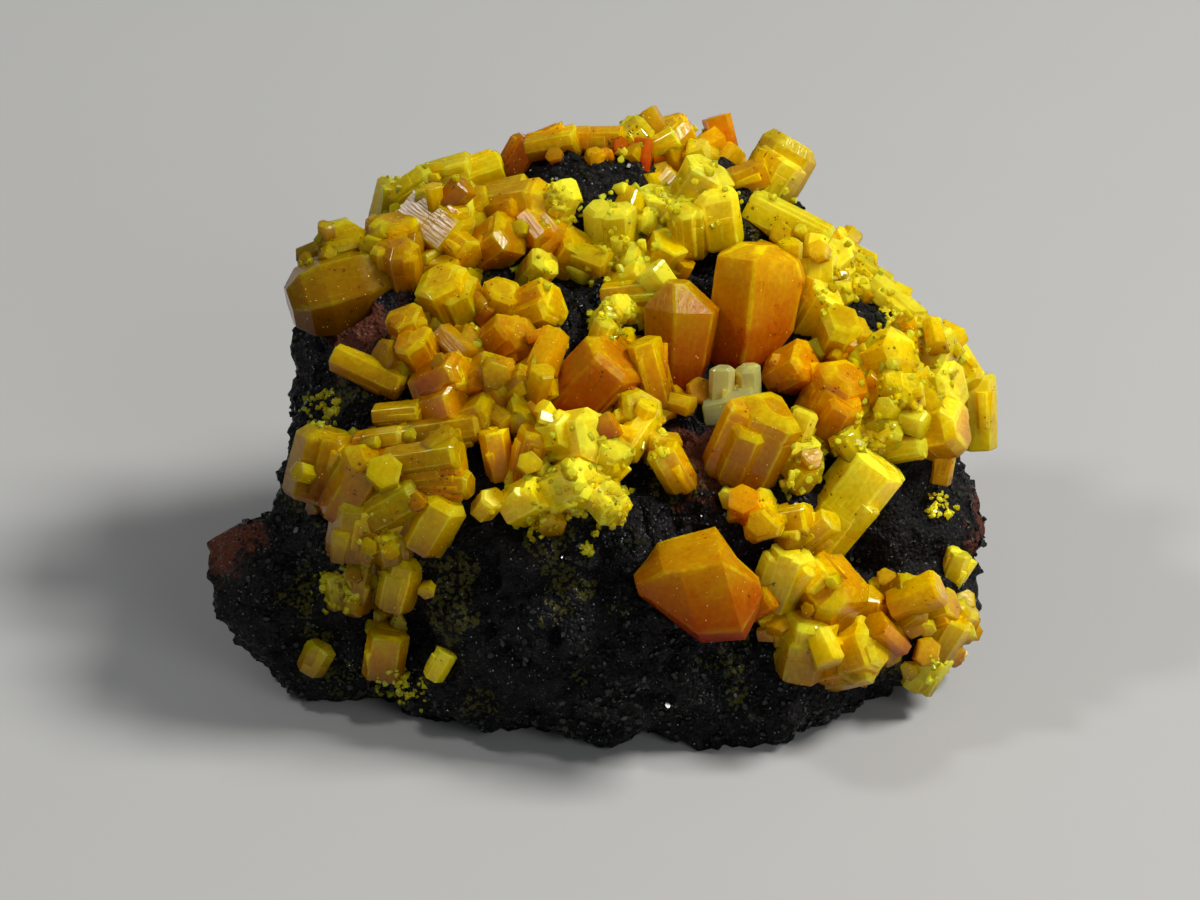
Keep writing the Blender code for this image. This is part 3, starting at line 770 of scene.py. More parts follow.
BARREL = (
    (-1.0, (0.74, 0.74, 0.74, 0.74, 0.74, 0.74)),
    (-0.4, (0.94, 0.95, 0.94, 0.94, 0.95, 0.94)),
    (0.3, (1.00, 1.00, 1.00, 1.00, 1.00, 1.00)),
    (0.7, (0.84, 0.88, 0.84, 0.84, 0.88, 0.84)),
    (1.0, (0.44, 0.52, 0.44, 0.44, 0.52, 0.44)),
)
GABLED = (
    (-1.0, (0.70, 0.62, 0.70, 0.70, 0.62, 0.70)),
    (-0.5, (0.90, 0.84, 0.90, 0.90, 0.84, 0.90)),
    (0.5, (1.00, 1.00, 1.00, 1.00, 1.00, 1.00)),
    (1.0, (0.42, 0.10, 0.36, 0.42, 0.46, 0.60)),
)

GROUPS = (
    CrystalGroup("big_orange_crystal", Tone.ORANGE, FRONT, (
        Crystal(7.7, 7.1, 2.45, 6.4, 86, 8, 25, 1.2, 0.22, DOMED),
    ), ()),
    CrystalGroup("front_orange_crystal", Tone.ORANGE, FRONT, (
        Crystal(4.9, -6.6, 2.75, 5.8, 15, 4, 10, 1.2, 0.2, WEDGED),
        Crystal(7.8, -7.7, 0.85, 2.2, 30, 30, 0, 0.8, 0.3),
    ), ()),
    # Painted shade: this crystal is made darker.
    CrystalGroup("upper_left_crystal", Tone.AMBER, FRONT, (
        Crystal(-13.0, 7.9, 2.15, 5.2, 197, 8, 15, 0.2, 0.42, BARREL),
    ), (), shade=0.62),
    CrystalGroup("upper_left_cluster", Tone.AMBER, FRONT, (
        Crystal(-10.2, 10.2, 1.6, 3.0, 95, 25, 10, 0.3, 0.45),
        Crystal(-9.9, 8.9, 1.3, 3.2, 100, 25, 0, 0.6, 0.4),
        Crystal(-8.2, 11.2, 1.5, 3.4, -38, 30, 0, 0.9, 0.45),
        Crystal(-6.9, 10.0, 0.9, 2.0, -38, 45, 0, 1.2, 0.5),
        Crystal(-4.3, 11.7, 1.9, 4.4, 8, 25, 0, 0.6, 0.5),
        Crystal(-2.8, 10.9, 1.4, 2.8, -50, 30, 0, 0.7, 0.45),
        Crystal(-5.4, 10.2, 1.4, 3.0, 35, 35, 0, 0.7, 0.4),
        Crystal(-1.5, 9.7, 1.2, 2.6, 60, 40, 0, 0.5, 0.55),
        Crystal(-7.8, 8.9, 0.9, 2.2, 0, 30, 0, 0.7, 0.5),
        Crystal(-3.2, 8.9, 0.9, 2.2, 50, 40, 0, 0.6, 0.75),
        Crystal(-2.0, 12.3, 0.9, 2.4, 60, 30, 0, 0.5, 0.85),
    )),
    CrystalGroup("middle_left_cluster", Tone.AMBER, FRONT, (
        Crystal(-7.3, 7.2, 1.6, 3.8, 115, 35, 0, 0.7, 0.45),
        Crystal(-5.2, 6.9, 1.2, 3.0, 70, 35, 0, 0.8, 0.4),
        Crystal(-3.4, 6.8, 1.3, 3.2, 20, 30, 0, 0.7, 0.45),
    )),
    CrystalGroup("centre_left_cluster", Tone.AMBER, FRONT, (
        Crystal(-9.5, 5.9, 1.0, 2.4, 110, 40, 0, 0.8, 0.4),
        Crystal(-9.0, 4.6, 1.0, 2.6, 120, 35, 0, 0.8, 0.35),
        Crystal(-6.9, 5.2, 1.0, 2.4, 30, 45, 0, 1.0, 0.4),
        Crystal(-4.7, 5.3, 1.3, 2.8, 35, 40, 0, 1.2, 0.35),
        Crystal(-2.8, 4.9, 1.0, 2.2, 60, 50, 0, 0.8, 0.4),
        Crystal(-7.7, 3.3, 1.3, 3.0, 20, 35, 0, 1.0, 0.35),
        Crystal(-5.8, 3.2, 1.5, 3.2, 30, 35, 0, 1.0, 0.35),
        Crystal(-3.6, 3.1, 1.3, 2.8, 30, 35, 0, 0.8, 0.4),
        Crystal(-8.0, 2.2, 1.0, 2.4, 15, 45, 0, 1.2, 0.4),
        Crystal(-6.3, 1.6, 1.2, 2.6, 20, 40, 0, 0.8, 0.45),
        Crystal(-10.1, 1.8, 0.7, 2.4, 5, 20, 0, 0.8, 0.5),
        Crystal(-7.7, 0.9, 0.8, 3.6, 8, 15, 0, 1.0, 0.4),
        Crystal(-3.9, 1.7, 1.0, 2.4, 60, 40, 0, 0.6, 0.5),
    )),
    CrystalGroup("centre_orange_crystal", Tone.ORANGE, FRONT, (
        Crystal(-0.3, 3.3, 1.9, 3.9, 46, 25, 10, 1.2, 0.12),
        Crystal(-0.1, 5.3, 0.7, 2.6, 70, 20, 0, 0.8, 0.6),
    )),
    # Painted light: this cluster is made brighter.
    CrystalGroup("lower_centre_cluster", Tone.LEMON, FRONT, (
        Crystal(-1.4, 0.5, 1.7, 3.6, 10, 45, 0, 1.5, 0.75),
        Crystal(-3.5, -0.3, 0.95, 2.9, 75, 25, 0, 1.2, 0.4),
        Crystal(-5.2, -0.2, 0.8, 2.6, 100, 20, 0, 0.8, 0.5),
        Crystal(0.4, -0.6, 1.1, 2.6, 60, 35, 0, 1.2, 0.8),
        Crystal(-1.6, -1.9, 1.4, 3.0, 20, 40, 0, 1.2, 0.85),
        Crystal(0.1, -2.4, 1.0, 2.4, -50, 30, 0, 1.0, 0.85),
        Crystal(-3.6, -2.6, 1.1, 2.4, 30, 40, 0, 0.9, 0.8),
        Crystal(-5.6, -2.7, 0.7, 1.6, 50, 50, 0, 0.8, 0.7),
    ), shade=1.2),
    CrystalGroup("left_cluster", Tone.AMBER, FRONT, (
        Crystal(-14.0, -0.7, 1.6, 3.6, 75, 10, 0, 0.6, 0.5),
        Crystal(-12.2, -1.6, 1.7, 3.8, 60, 25, 0, 0.8, 0.45),
        Crystal(-12.2, -3.9, 1.4, 3.0, 80, 20, 0, 0.5, 0.55),
        Crystal(-10.6, 0.3, 0.9, 3.2, 8, 20, 0, 0.8, 0.5),
        Crystal(-9.0, -0.7, 1.1, 4.6, 8, 20, 0, 1.2, 0.45),
        Crystal(-8.0, -1.7, 0.8, 3.2, 0, 20, 0, 1.1, 0.45),
        Crystal(-10.2, -2.7, 1.3, 3.0, 30, 20, 0, 0.6, 0.55),
        Crystal(-8.4, -3.5, 1.3, 3.0, 60, 20, 0, 0.4, 0.6),
        Crystal(-10.4, -4.3, 1.1, 2.4, 100, 20, 0, 0.3, 0.6),
    )),
    CrystalGroup("small_left_prism", Tone.AMBER, FRONT, (
        Crystal(-11.6, 3.9, 0.85, 3.8, -25, 15, 0, 0.6, 0.55),
    )),
    CrystalGroup("top_middle_cluster", Tone.LEMON, FRONT, (
        Crystal(0.8, 10.9, 1.3, 2.8, 95, 30, 0, 0.6, 0.85),
        Crystal(2.6, 11.5, 1.3, 3.4, 80, 25, 0, 0.6, 0.85),
        Crystal(5.0, 12.8, 1.5, 3.2, 60, 25, 0, 0.4, 0.8),
        Crystal(5.9, 11.6, 1.2, 3.0, 100, 25, 0, 0.6, 0.75),
        Crystal(4.5, 11.0, 1.1, 2.8, 95, 35, 0, 0.8, 0.8),
        Crystal(3.1, 9.5, 1.1, 2.6, 60, 40, 0, 0.6, 0.7),
        Crystal(1.3, 9.2, 1.1, 2.6, 30, 45, 0, 0.6, 0.7),
    )),
    CrystalGroup("level_gold_prism", Tone.LEMON, FRONT, (
        Crystal(1.9, 7.8, 0.9, 3.6, 5, 20, 0, 0.7, 0.6),
    )),
    CrystalGroup("small_lemon_prism", Tone.LEMON, FRONT, (
        Crystal(0.6, 6.8, 0.8, 2.2, 40, 45, 0, 0.6, 0.85),
    )),
    CrystalGroup("second_orange_crystal", Tone.ORANGE, FRONT, (
        Crystal(4.0, 5.8, 2.0, 5.2, 86, 10, 20, 0.6, 0.3, GABLED),
    ), (), shade=0.85),
    CrystalGroup("centre_gold_prism", Tone.AMBER, FRONT, (
        Crystal(2.6, 3.8, 0.95, 3.4, 105, 15, 0, 1.1, 0.45),
    )),
    CrystalGroup("speckled_crystal", Tone.AMBER, FRONT, (
        Crystal(1.7, 1.5, 1.25, 2.4, 60, 50, 0, 0.8, 0.45),
        Crystal(3.7, -0.8, 0.9, 2.6, 120, 30, 0, 0.6, 0.5),
        Crystal(2.8, 0.2, 0.7, 1.8, 80, 30, 0, 0.5, 0.7),
    )),
    CrystalGroup("pale_twin_prisms", Tone.LEMON, FRONT, (
        Crystal(6.1, 2.7, 0.75, 3.0, 88, 15, 0, 1.0, 0.95),
        Crystal(7.3, 2.8, 0.75, 2.8, 92, 15, 0, 0.9, 0.95),
        Crystal(6.6, 1.9, 1.1, 2.6, 10, 10, 0, 0.3, 0.7),
    ), shade=0.8, pale=0.75),
    CrystalGroup("right_cluster", Tone.AMBER, FRONT, (
        Crystal(9.6, 4.1, 1.3, 2.4, 30, 40, 0, 0.8, 0.25),
        Crystal(11.7, 2.6, 1.6, 3.4, 60, 30, 0, 0.9, 0.3),
        Crystal(11.9, 5.6, 1.4, 2.6, 70, 45, 0, 0.9, 0.5),
        Crystal(10.8, 6.8, 1.0, 2.8, 60, 30, 0, 0.6, 0.7),
        Crystal(14.1, 4.6, 1.5, 3.0, 20, 35, 0, 0.8, 0.65),
        Crystal(16.2, 5.0, 1.5, 3.2, -20, 25, 0, 0.6, 0.75),
        Crystal(14.4, 2.4, 1.5, 3.0, 50, 35, 0, 0.8, 0.6),
        Crystal(16.6, 2.9, 1.4, 2.8, 10, 35, 0, 0.8, 0.7),
        Crystal(16.6, 1.0, 1.6, 3.2, 10, 25, 0, 0.9, 0.5),
        Crystal(17.1, -0.8, 0.65, 1.8, 80, 10, 0, 0.6, 0.5),
        Crystal(13.9, 1.0, 1.1, 2.4, 30, 35, 0, 0.8, 0.75),
        Crystal(15.2, 0.0, 0.7, 2.2, 10, 20, 0, 0.8, 0.75),
        Crystal(12.2, 0.6, 0.9, 2.2, 20, 40, 0, 0.6, 0.8),
    )),
    CrystalGroup("right_edge_prisms", Tone.LEMON, FRONT, (
        Crystal(17.9, 4.2, 1.1, 2.6, -60, 20, 0, 0.3, 0.75),
        Crystal(18.9, 1.9, 0.95, 3.8, 92, 10, 0, 0.3, 0.75),
    )),
    CrystalGroup("upper_ridge_prism", Tone.LEMON, FRONT, (
        Crystal(9.3, 11.2, 1.0, 4.4, -27, 5, 0, 0.2, 0.75),
    )),
    CrystalGroup("middle_ridge_prisms", Tone.LEMON, FRONT, (
        Crystal(11.6, 9.9, 1.1, 4.6, -28, 5, 20, 0.2, 0.7),
        Crystal(13.2, 8.6, 1.0, 3.6, -38, 5, 0, 0.2, 0.65),
    )),
    CrystalGroup("lower_ridge_prism", Tone.LEMON, FRONT, (
        Crystal(14.6, 7.2, 1.1, 3.2, -40, 5, 10, 0.2, 0.8),
    )),
    CrystalGroup("centre_right_crystal", Tone.AMBER, FRONT, (
        Crystal(7.8, 0.2, 1.85, 4.6, 65, 25, 0, 1.0, 0.4),
        Crystal(9.8, -0.7, 1.1, 2.6, 80, 30, 0, 0.5, 0.85),
    )),
    CrystalGroup("right_lemon_crystal", Tone.LEMON, FRONT, (
        Crystal(12.4, -2.6, 1.8, 5.2, 52, 15, 0, 0.9, 0.75),
    ), shade=1.12),
    CrystalGroup("right_small_prisms", Tone.AMBER, FRONT, (
        Crystal(10.7, -4.2, 0.9, 2.6, 40, 25, 0, 0.8, 0.6),
        Crystal(9.2, -3.6, 0.8, 2.6, 10, 25, 0, 0.6, 0.5),
    )),
    CrystalGroup("lower_right_cluster", Tone.AMBER, FRONT, (
        Crystal(11.0, -6.5, 1.9, 4.6, -50, 25, 0, 1.0, 0.5),
        Crystal(9.2, -6.4, 1.2, 3.2, 70, 25, 0, 0.8, 0.7),
        Crystal(10.2, -9.6, 1.7, 3.4, 80, 30, 0, 0.6, 0.55),
        Crystal(12.4, -10.0, 1.7, 3.6, 20, 30, 0, 0.6, 0.5),
        Crystal(14.9, -7.7, 1.4, 3.0, 40, 30, 0, 0.6, 0.45),
        Crystal(13.9, -9.6, 1.2, 2.4, -20, 30, 0, 0.4, 0.5),
    )),
    CrystalGroup("right_end_crystals", Tone.AMBER, FRONT, (
        Crystal(17.2, -9.5, 1.1, 2.6, 60, 20, 0, 0.4, 0.55),
        Crystal(17.9, -8.4, 0.8, 1.8, 40, 20, 0, 0.3, 0.6),
        Crystal(16.6, -8.0, 0.9, 2.4, 20, 30, 0, 0.4, 0.5),
        Crystal(16.2, -10.9, 0.9, 2.4, 60, 20, 0, 0.4, 0.8),
    )),
    CrystalGroup("right_small_lemon", Tone.LEMON, FRONT, (
        Crystal(17.7, -6.0, 0.8, 2.0, 70, 20, 0, 0.3, 0.8),
    )),
    CrystalGroup("knob_side_prism", Tone.AMBER, FRONT, (
        Crystal(-12.0, -6.6, 0.75, 3.2, 80, 20, 0, 0.5, 0.5),
        Crystal(-13.1, -7.0, 0.7, 1.8, 100, 20, 0, 0.3, 0.75),
    )),
    CrystalGroup("low_left_olive_crystal", Tone.AMBER, FRONT, (
        Crystal(-10.0, -6.6, 1.2, 2.8, 75, 20, 0, 0.4, 0.6),
    )),
    CrystalGroup("low_left_gold_crystal", Tone.AMBER, FRONT, (
        Crystal(-10.7, -10.2, 1.1, 2.5, 80, 25, 0, 0.6, 0.5),
    )),
    CrystalGroup("foot_crystal_left", Tone.AMBER, FRONT, (
        Crystal(-14.2, -10.4, 0.8, 1.6, 60, 20, 0, 0.4, 0.6),
    )),
    CrystalGroup("foot_crystal_right", Tone.LEMON, FRONT, (
        Crystal(-8.0, -10.7, 0.65, 1.6, 60, 20, 0, 0.4, 0.8),
    )),
    CrystalGroup("back_left_crust", Tone.LEMON, FRONT, (
        Crystal(-10.2, 12.2, 1.4, 2.6, 75, 10, 0, 0.2, 0.75),
        Crystal(-9.1, 13.0, 1.3, 2.6, 35, 15, 20, 0.2, 0.7),
        Crystal(-7.6, 13.4, 1.3, 3.0, 15, 10, 0, 0.2, 0.7),
        Crystal(-6.0, 13.8, 1.1, 2.6, 20, 0, 30, 0.2, 0.65),
    )),
    CrystalGroup("back_top_crust", Tone.AMBER, FRONT, (
        Crystal(-4.0, 14.6, 0.9, 2.2, 60, 10, 0, 0.2, 0.2),
        Crystal(-2.4, 15.3, 0.9, 2.6, 10, 10, 0, 0.2, 0.45),
        Crystal(-0.2, 15.4, 0.9, 2.8, 0, 10, 0, 0.2, 0.45),
        Crystal(1.6, 15.5, 1.0, 2.4, 40, 10, 0, 0.2, 0.7),
        Crystal(2.8, 14.9, 1.0, 2.8, 30, 10, 0, 0.2, 0.6),
    )),
    CrystalGroup("back_right_tip", Tone.AMBER, FRONT, (
        Crystal(8.9, 14.0, 1.7, 3.4, 60, 5, 0, 0.2, 0.6),
        Crystal(7.5, 13.5, 1.0, 2.2, 20, 10, 0, 0.2, 0.5),
    )),
    CrystalGroup("back_upper_cluster", Tone.AMBER, BACK, (
        Crystal(-4.0, 4.5, 1.6, 3.6, 60, 30, 0, 0.5, 0.4),
        Crystal(-1.8, 3.6, 1.3, 3.2, 110, 30, 0, 0.5, 0.5),
        Crystal(-3.4, 2.0, 1.4, 3.4, 20, 35, 0, 0.5, 0.45),
        Crystal(-5.8, 3.0, 1.1, 2.8, 150, 30, 0, 0.4, 0.6),
    )),
    CrystalGroup("back_low_prisms", Tone.LEMON, BACK, (
        Crystal(5.0, -2.0, 1.2, 3.6, 40, 30, 0, 0.4, 0.7),
        Crystal(5.9, -2.8, 1.0, 2.8, -20, 35, 0, 0.4, 0.8),
    )),
    CrystalGroup("left_side_crystals", Tone.AMBER, LEFT, (
        Crystal(-4.0, 1.0, 1.3, 3.2, 70, 30, 0, 0.4, 0.5),
        Crystal(-2.4, 0.0, 1.0, 2.6, 20, 30, 0, 0.4, 0.6),
    )),
    CrystalGroup("right_side_crystals", Tone.LEMON, RIGHT, (
        Crystal(3.0, 1.5, 1.2, 3.0, 60, 30, 0, 0.4, 0.7),
        Crystal(4.6, 0.6, 1.0, 2.8, 120, 30, 0, 0.4, 0.8),
    )),
)


# Small crystals in swarms


@dataclass
class Perches:
    """Places on the finished skins where small crystals may sit.

    Attributes:
        places: points on the skins.
        normals: the skins' outward directions there.
        rock: whether each lies on the rock rather than on a crystal.
    """

    places: Array
    normals: Array
    rock: Array

    @staticmethod
    def on(skins: list[tuple[Skin, bool]], count: int, rng: np.random.Generator) -> Perches:
        """Spread points evenly over skins.

        Args:
            skins: each skin, and whether it is rock.
            count: how many points in all.
            rng: the source of chance.

        Returns:
            Points drawn by area, each at a random blend of its triangle's corners.
        """
        triangles = [skin.corners() for skin, _ in skins]
        rock = np.concatenate([np.full(len(part), is_rock) for part, (_, is_rock) in zip(triangles, skins)])
        corners = np.concatenate(triangles)
        cross = np.cross(corners[:, 1] - corners[:, 0], corners[:, 2] - corners[:, 0])
        area = np.linalg.norm(cross, axis=1)
        pick = rng.choice(len(corners), count, p=area / area.sum())
        a, b = np.sqrt(rng.random(count)), rng.random(count)
        blend = np.stack((1 - a, a * (1 - b), a * b), 1)
        places = np.einsum("nc,ncx->nx", blend, corners[pick])
        return Perches(places, cross[pick] / area[pick][:, None], rock[pick])

    def chosen(self, keep: Array) -> Perches:
        """Only the points that a mask or a list of numbers keeps."""
        return Perches(self.places[keep], self.normals[keep], self.rock[keep])

    def drawn(self, allowed: Array, count: int, favour: float, rng: np.random.Generator) -> Perches:
        """Some of the allowed points, drawn at random.

        Args:
            allowed: whether each point may be drawn.
            count: how many points to draw, or all that are allowed where they are fewer.
            favour: how much likelier a point on rock is than one on a crystal.
            rng: the source of chance.

        Returns:
            The points drawn.
        """
        found = np.flatnonzero(allowed)
        chances = np.where(self.rock[found], favour, 1.0)
        pick = rng.choice(found, min(count, len(found)), replace=False, p=chances / chances.sum())
        return self.chosen(pick)


@dataclass(frozen=True)
class Sowing:
    """Where one kind of small crystal may sit.

    Attributes:
        tried: how many places are tried.
        facing: how far a place has to face the view, 0 to 1.
        lowest: how high above the ground it has to be.
        favour: how much likelier a place on rock is than one on a crystal.
    """

    tried: int
    facing: float
    lowest: float
    favour: float

    def allows(self, perches: Perches, view: SightView) -> Array:
        """Whether each perch faces the view and is high enough."""
        return (perches.normals @ view.back > self.facing) & (perches.places[:, 2] > self.lowest)


CRUST_SOWING = Sowing(tried=160000, facing=0.15, lowest=1.5, favour=12.0)
GRAIN_SOWING = Sowing(tried=260000, facing=0.1, lowest=0.9, favour=5.0)

DRUSE_TRIED = 40000
DRUSE_COUNT = 5400
DRUSE_LOWEST = 0.6
SMALLEST_CRUST = 0.32


def frames_about(axes: Array, rng: np.random.Generator) -> Array:
    """Frames with given axes and a random turn about them, as rows: side, side, axis."""
    other = rng.normal(size=axes.shape)
    side = np.cross(axes, other)
    side /= np.linalg.norm(side, axis=1, keepdims=True)
    return np.stack((side, np.cross(axes, side), axes), 1)


@dataclass
class Swarm:
    """Small prisms scattered at random on the skins.

    Attributes:
        sizes: smallest and largest radius.
        slender: smallest and largest length over radius.
        splay: how far their axes stray from straight out, 0 to 1.
        sink: share of their length that is under the skin.
        tones: smallest and largest tone.
    """

    sizes: tuple[float, float]
    slender: tuple[float, float]
    splay: float
    sink: float
    tones: tuple[float, float]

    def build(self, perches: Perches, rng: np.random.Generator) -> Skin:
        """Prisms on the perches, each with its size, lean and tone drawn at random."""
        count = len(perches.places)
        small, large = self.sizes
        radii = small * (large / small) ** rng.random(count)
        lengths = radii * rng.uniform(*self.slender, count)
        axes = perches.normals + self.splay * rng.normal(size=(count, 3))
        axes /= np.linalg.norm(axes, axis=1, keepdims=True)
        middles = perches.places + axes * (lengths * (0.5 - self.sink))[:, None]
        tones = rng.uniform(*self.tones, count)
        batch = PrismBatch(GRAIN, middles, frames_about(axes, rng), radii, lengths, tones)
        return batch.skin(rng)


@dataclass(frozen=True)
class GrainPatch:
    """A patch of granular mimetite where it shows in a view.

    Attributes:
        across, up: its middle.
        reach: its radius.
        count: how many grains.
        size: the largest grain's radius.
        tone: their tone.
        view: the view that it is laid out in.
    """

    across: float
    up: float
    reach: float
    count: int
    size: float = 0.28
    tone: float = 0.85
    view: SightView = FRONT


GRAIN_PATCHES = (
    GrainPatch(-13.9, 2.2, 1.0, 60),
    GrainPatch(-3.2, 9.0, 1.1, 45, 0.35),
    GrainPatch(-2.0, 12.2, 1.2, 60, 0.32, 0.95),
    GrainPatch(-6.1, 5.5, 0.8, 25, 0.3, 0.8),
    GrainPatch(0.9, 6.8, 1.2, 70, 0.32),
    GrainPatch(1.8, 11.5, 1.9, 120, 0.4, 0.9),
    GrainPatch(0.4, 9.6, 1.3, 60, 0.32, 0.8),
    GrainPatch(3.2, 12.6, 1.2, 50, 0.4, 0.9),
    GrainPatch(5.4, 12.6, 1.5, 50, 0.4, 0.8),
    GrainPatch(-1.0, -1.2, 2.6, 150, 0.4, 0.85),
    GrainPatch(0.6, -2.9, 1.0, 40, 0.35, 0.9),
    GrainPatch(-3.3, -3.1, 1.2, 40, 0.3, 0.85),
    GrainPatch(2.7, 0.0, 0.9, 50, 0.25, 0.85),
    GrainPatch(9.8, -0.7, 1.6, 90, 0.35, 0.9),
    GrainPatch(12.6, 0.8, 1.3, 70, 0.35, 0.85),
    GrainPatch(15.8, 4.2, 2.4, 150, 0.42, 0.8),
    GrainPatch(13.6, 1.4, 1.6, 70, 0.35, 0.8),
    GrainPatch(11.0, 7.6, 1.0, 50, 0.35, 0.75),
    GrainPatch(13.4, 8.8, 1.2, 60, 0.3, 0.8),
    GrainPatch(15.0, 6.9, 1.0, 60, 0.3, 0.85),
    GrainPatch(-13.1, -7.0, 1.2, 60, 0.3, 0.8),
    GrainPatch(-10.0, -12.1, 1.2, 60, 0.25, 0.9),
    GrainPatch(16.9, -2.8, 0.8, 30, 0.25, 0.85),
    GrainPatch(-10.8, -4.8, 1.6, 60, 0.3, 0.7),
    GrainPatch(-0.8, -5.0, 0.5, 10, 0.3, 0.9),
    GrainPatch(16.6, -11.2, 0.9, 30, 0.3, 0.9),
    GrainPatch(1.8, 15.6, 1.2, 40, 0.35, 0.8),
    GrainPatch(-9.0, 12.8, 2.0, 80, 0.35, 0.75),
    GrainPatch(9.0, 13.2, 1.0, 30, 0.3, 0.8),
    GrainPatch(-3.4, 2.6, 2.4, 120, 0.35, 0.9, BACK),
    GrainPatch(5.0, -2.4, 1.8, 70, 0.3, 0.85, BACK),
    GrainPatch(-3.4, 0.6, 1.6, 60, 0.3, 0.8, LEFT),
    GrainPatch(3.8, 1.2, 1.8, 70, 0.3, 0.85, RIGHT),
)


@dataclass(frozen=True)
class CrustZone:
    """An oval part of a view where small crystals fill the room between the large ones.

    Attributes:
        across, up: its middle.
        wide, high: its half width and half height.
        count: how many crystals.
        largest: the largest one's radius.
        tone: their middle tone.
        view: the view that it is laid out in.
    """

    across: float
    up: float
    wide: float
    high: float
    count: int
    largest: float = 0.95
    tone: float = 0.5
    view: SightView = FRONT

    def holds(self, across: Array, up: Array) -> Array:
        """Whether places in the view lie in the oval."""
        return ((across - self.across) / self.wide) ** 2 + ((up - self.up) / self.high) ** 2 < 1


CRUST_ZONES = (
    CrustZone(-7.2, 10.6, 4.2, 2.6, 45, 1.15, 0.5),
    CrustZone(1.9, 10.6, 4.4, 2.6, 50, 1.1, 0.72),
    CrustZone(-6.0, 4.4, 4.4, 3.6, 60, 1.0, 0.42),
    CrustZone(-10.9, -1.6, 4.0, 3.4, 50, 1.1, 0.5),
    CrustZone(-2.0, -0.6, 3.2, 2.8, 40, 1.0, 0.7),
    CrustZone(2.2, 3.0, 4.2, 3.4, 40, 0.9, 0.5),
    CrustZone(14.2, 3.2, 4.6, 3.6, 60, 1.25, 0.6),
    CrustZone(9.8, -1.6, 3.6, 3.2, 55, tone=0.6),
    CrustZone(12.8, -8.6, 4.6, 3.0, 50, 1.1, 0.55),
    CrustZone(17.2, -9.4, 1.6, 2.2, 20, 0.7, 0.6),
    CrustZone(11.8, 9.4, 4.6, 1.8, 45, 0.7, 0.7),
    CrustZone(-8.8, 12.8, 3.2, 1.6, 40, 0.8, 0.7),
    CrustZone(0.4, 14.6, 3.4, 0.6, 14, 0.6, 0.25),
    CrustZone(-10.6, -7.0, 2.2, 2.4, 25, 0.6, 0.6),
    CrustZone(-3.4, 3.0, 4.2, 3.0, 90, 0.9, 0.5, BACK),
    CrustZone(5.2, -2.2, 2.4, 2.0, 30, 0.8, 0.7, BACK),
    CrustZone(-3.4, 1.0, 3.0, 2.4, 45, 0.8, 0.55, LEFT),
    CrustZone(3.6, 1.6, 3.2, 2.6, 45, 0.8, 0.65, RIGHT),
)

BARE_SPOTS = (
    CrustZone(-11.5, 2.4, 2.4, 1.5, 0),
    CrustZone(-4.6, 8.8, 1.3, 1.2, 0),
    CrustZone(-1.3, 6.7, 1.3, 1.6, 0),
    CrustZone(2.0, -1.5, 1.9, 1.7, 0),
    CrustZone(12.9, 7.5, 2.8, 1.6, 0),
    CrustZone(4.9, -1.8, 1.3, 1.8, 0),
    CrustZone(16.8, -3.4, 2.4, 2.6, 0),
    CrustZone(-12.4, 6.2, 2.1, 1.5, 0),
    CrustZone(-4.8, 13.2, 3.6, 0.8, 0),
    CrustZone(-0.4, 12.2, 0.8, 1.4, 0),
    CrustZone(4.8, 8.6, 1.1, 1.0, 0),
    CrustZone(6.6, 11.2, 0.9, 0.8, 0),
    CrustZone(8.2, 13.0, 1.3, 1.0, 0),
    CrustZone(4.5, 0.9, 1.4, 1.5, 0),
    CrustZone(9.6, -2.2, 1.1, 0.9, 0),
    CrustZone(-8.6, -5.4, 2.0, 1.2, 0),
)

# Faces of the main crystals, on which nothing small sits.
CLEAN_FACES = (
    CrustZone(7.7, 7.2, 2.7, 3.6, 0),
    CrustZone(4.9, -6.6, 3.5, 3.0, 0),
    CrustZone(4.2, 5.6, 1.9, 2.9, 0),
    CrustZone(-13.2, 7.8, 3.0, 2.2, 0),
    CrustZone(7.6, 0.0, 1.9, 2.7, 0),
    CrustZone(-0.2, 3.4, 1.9, 2.0, 0),
    CrustZone(12.2, -2.6, 1.7, 2.4, 0),
    CrustZone(2.6, 3.8, 1.0, 1.6, 0),
    CrustZone(6.7, 2.8, 1.6, 1.5, 0),
    CrustZone(11.3, 2.8, 1.7, 1.8, 0),
    CrustZone(9.6, 4.2, 1.2, 1.2, 0),
)


# Finishes


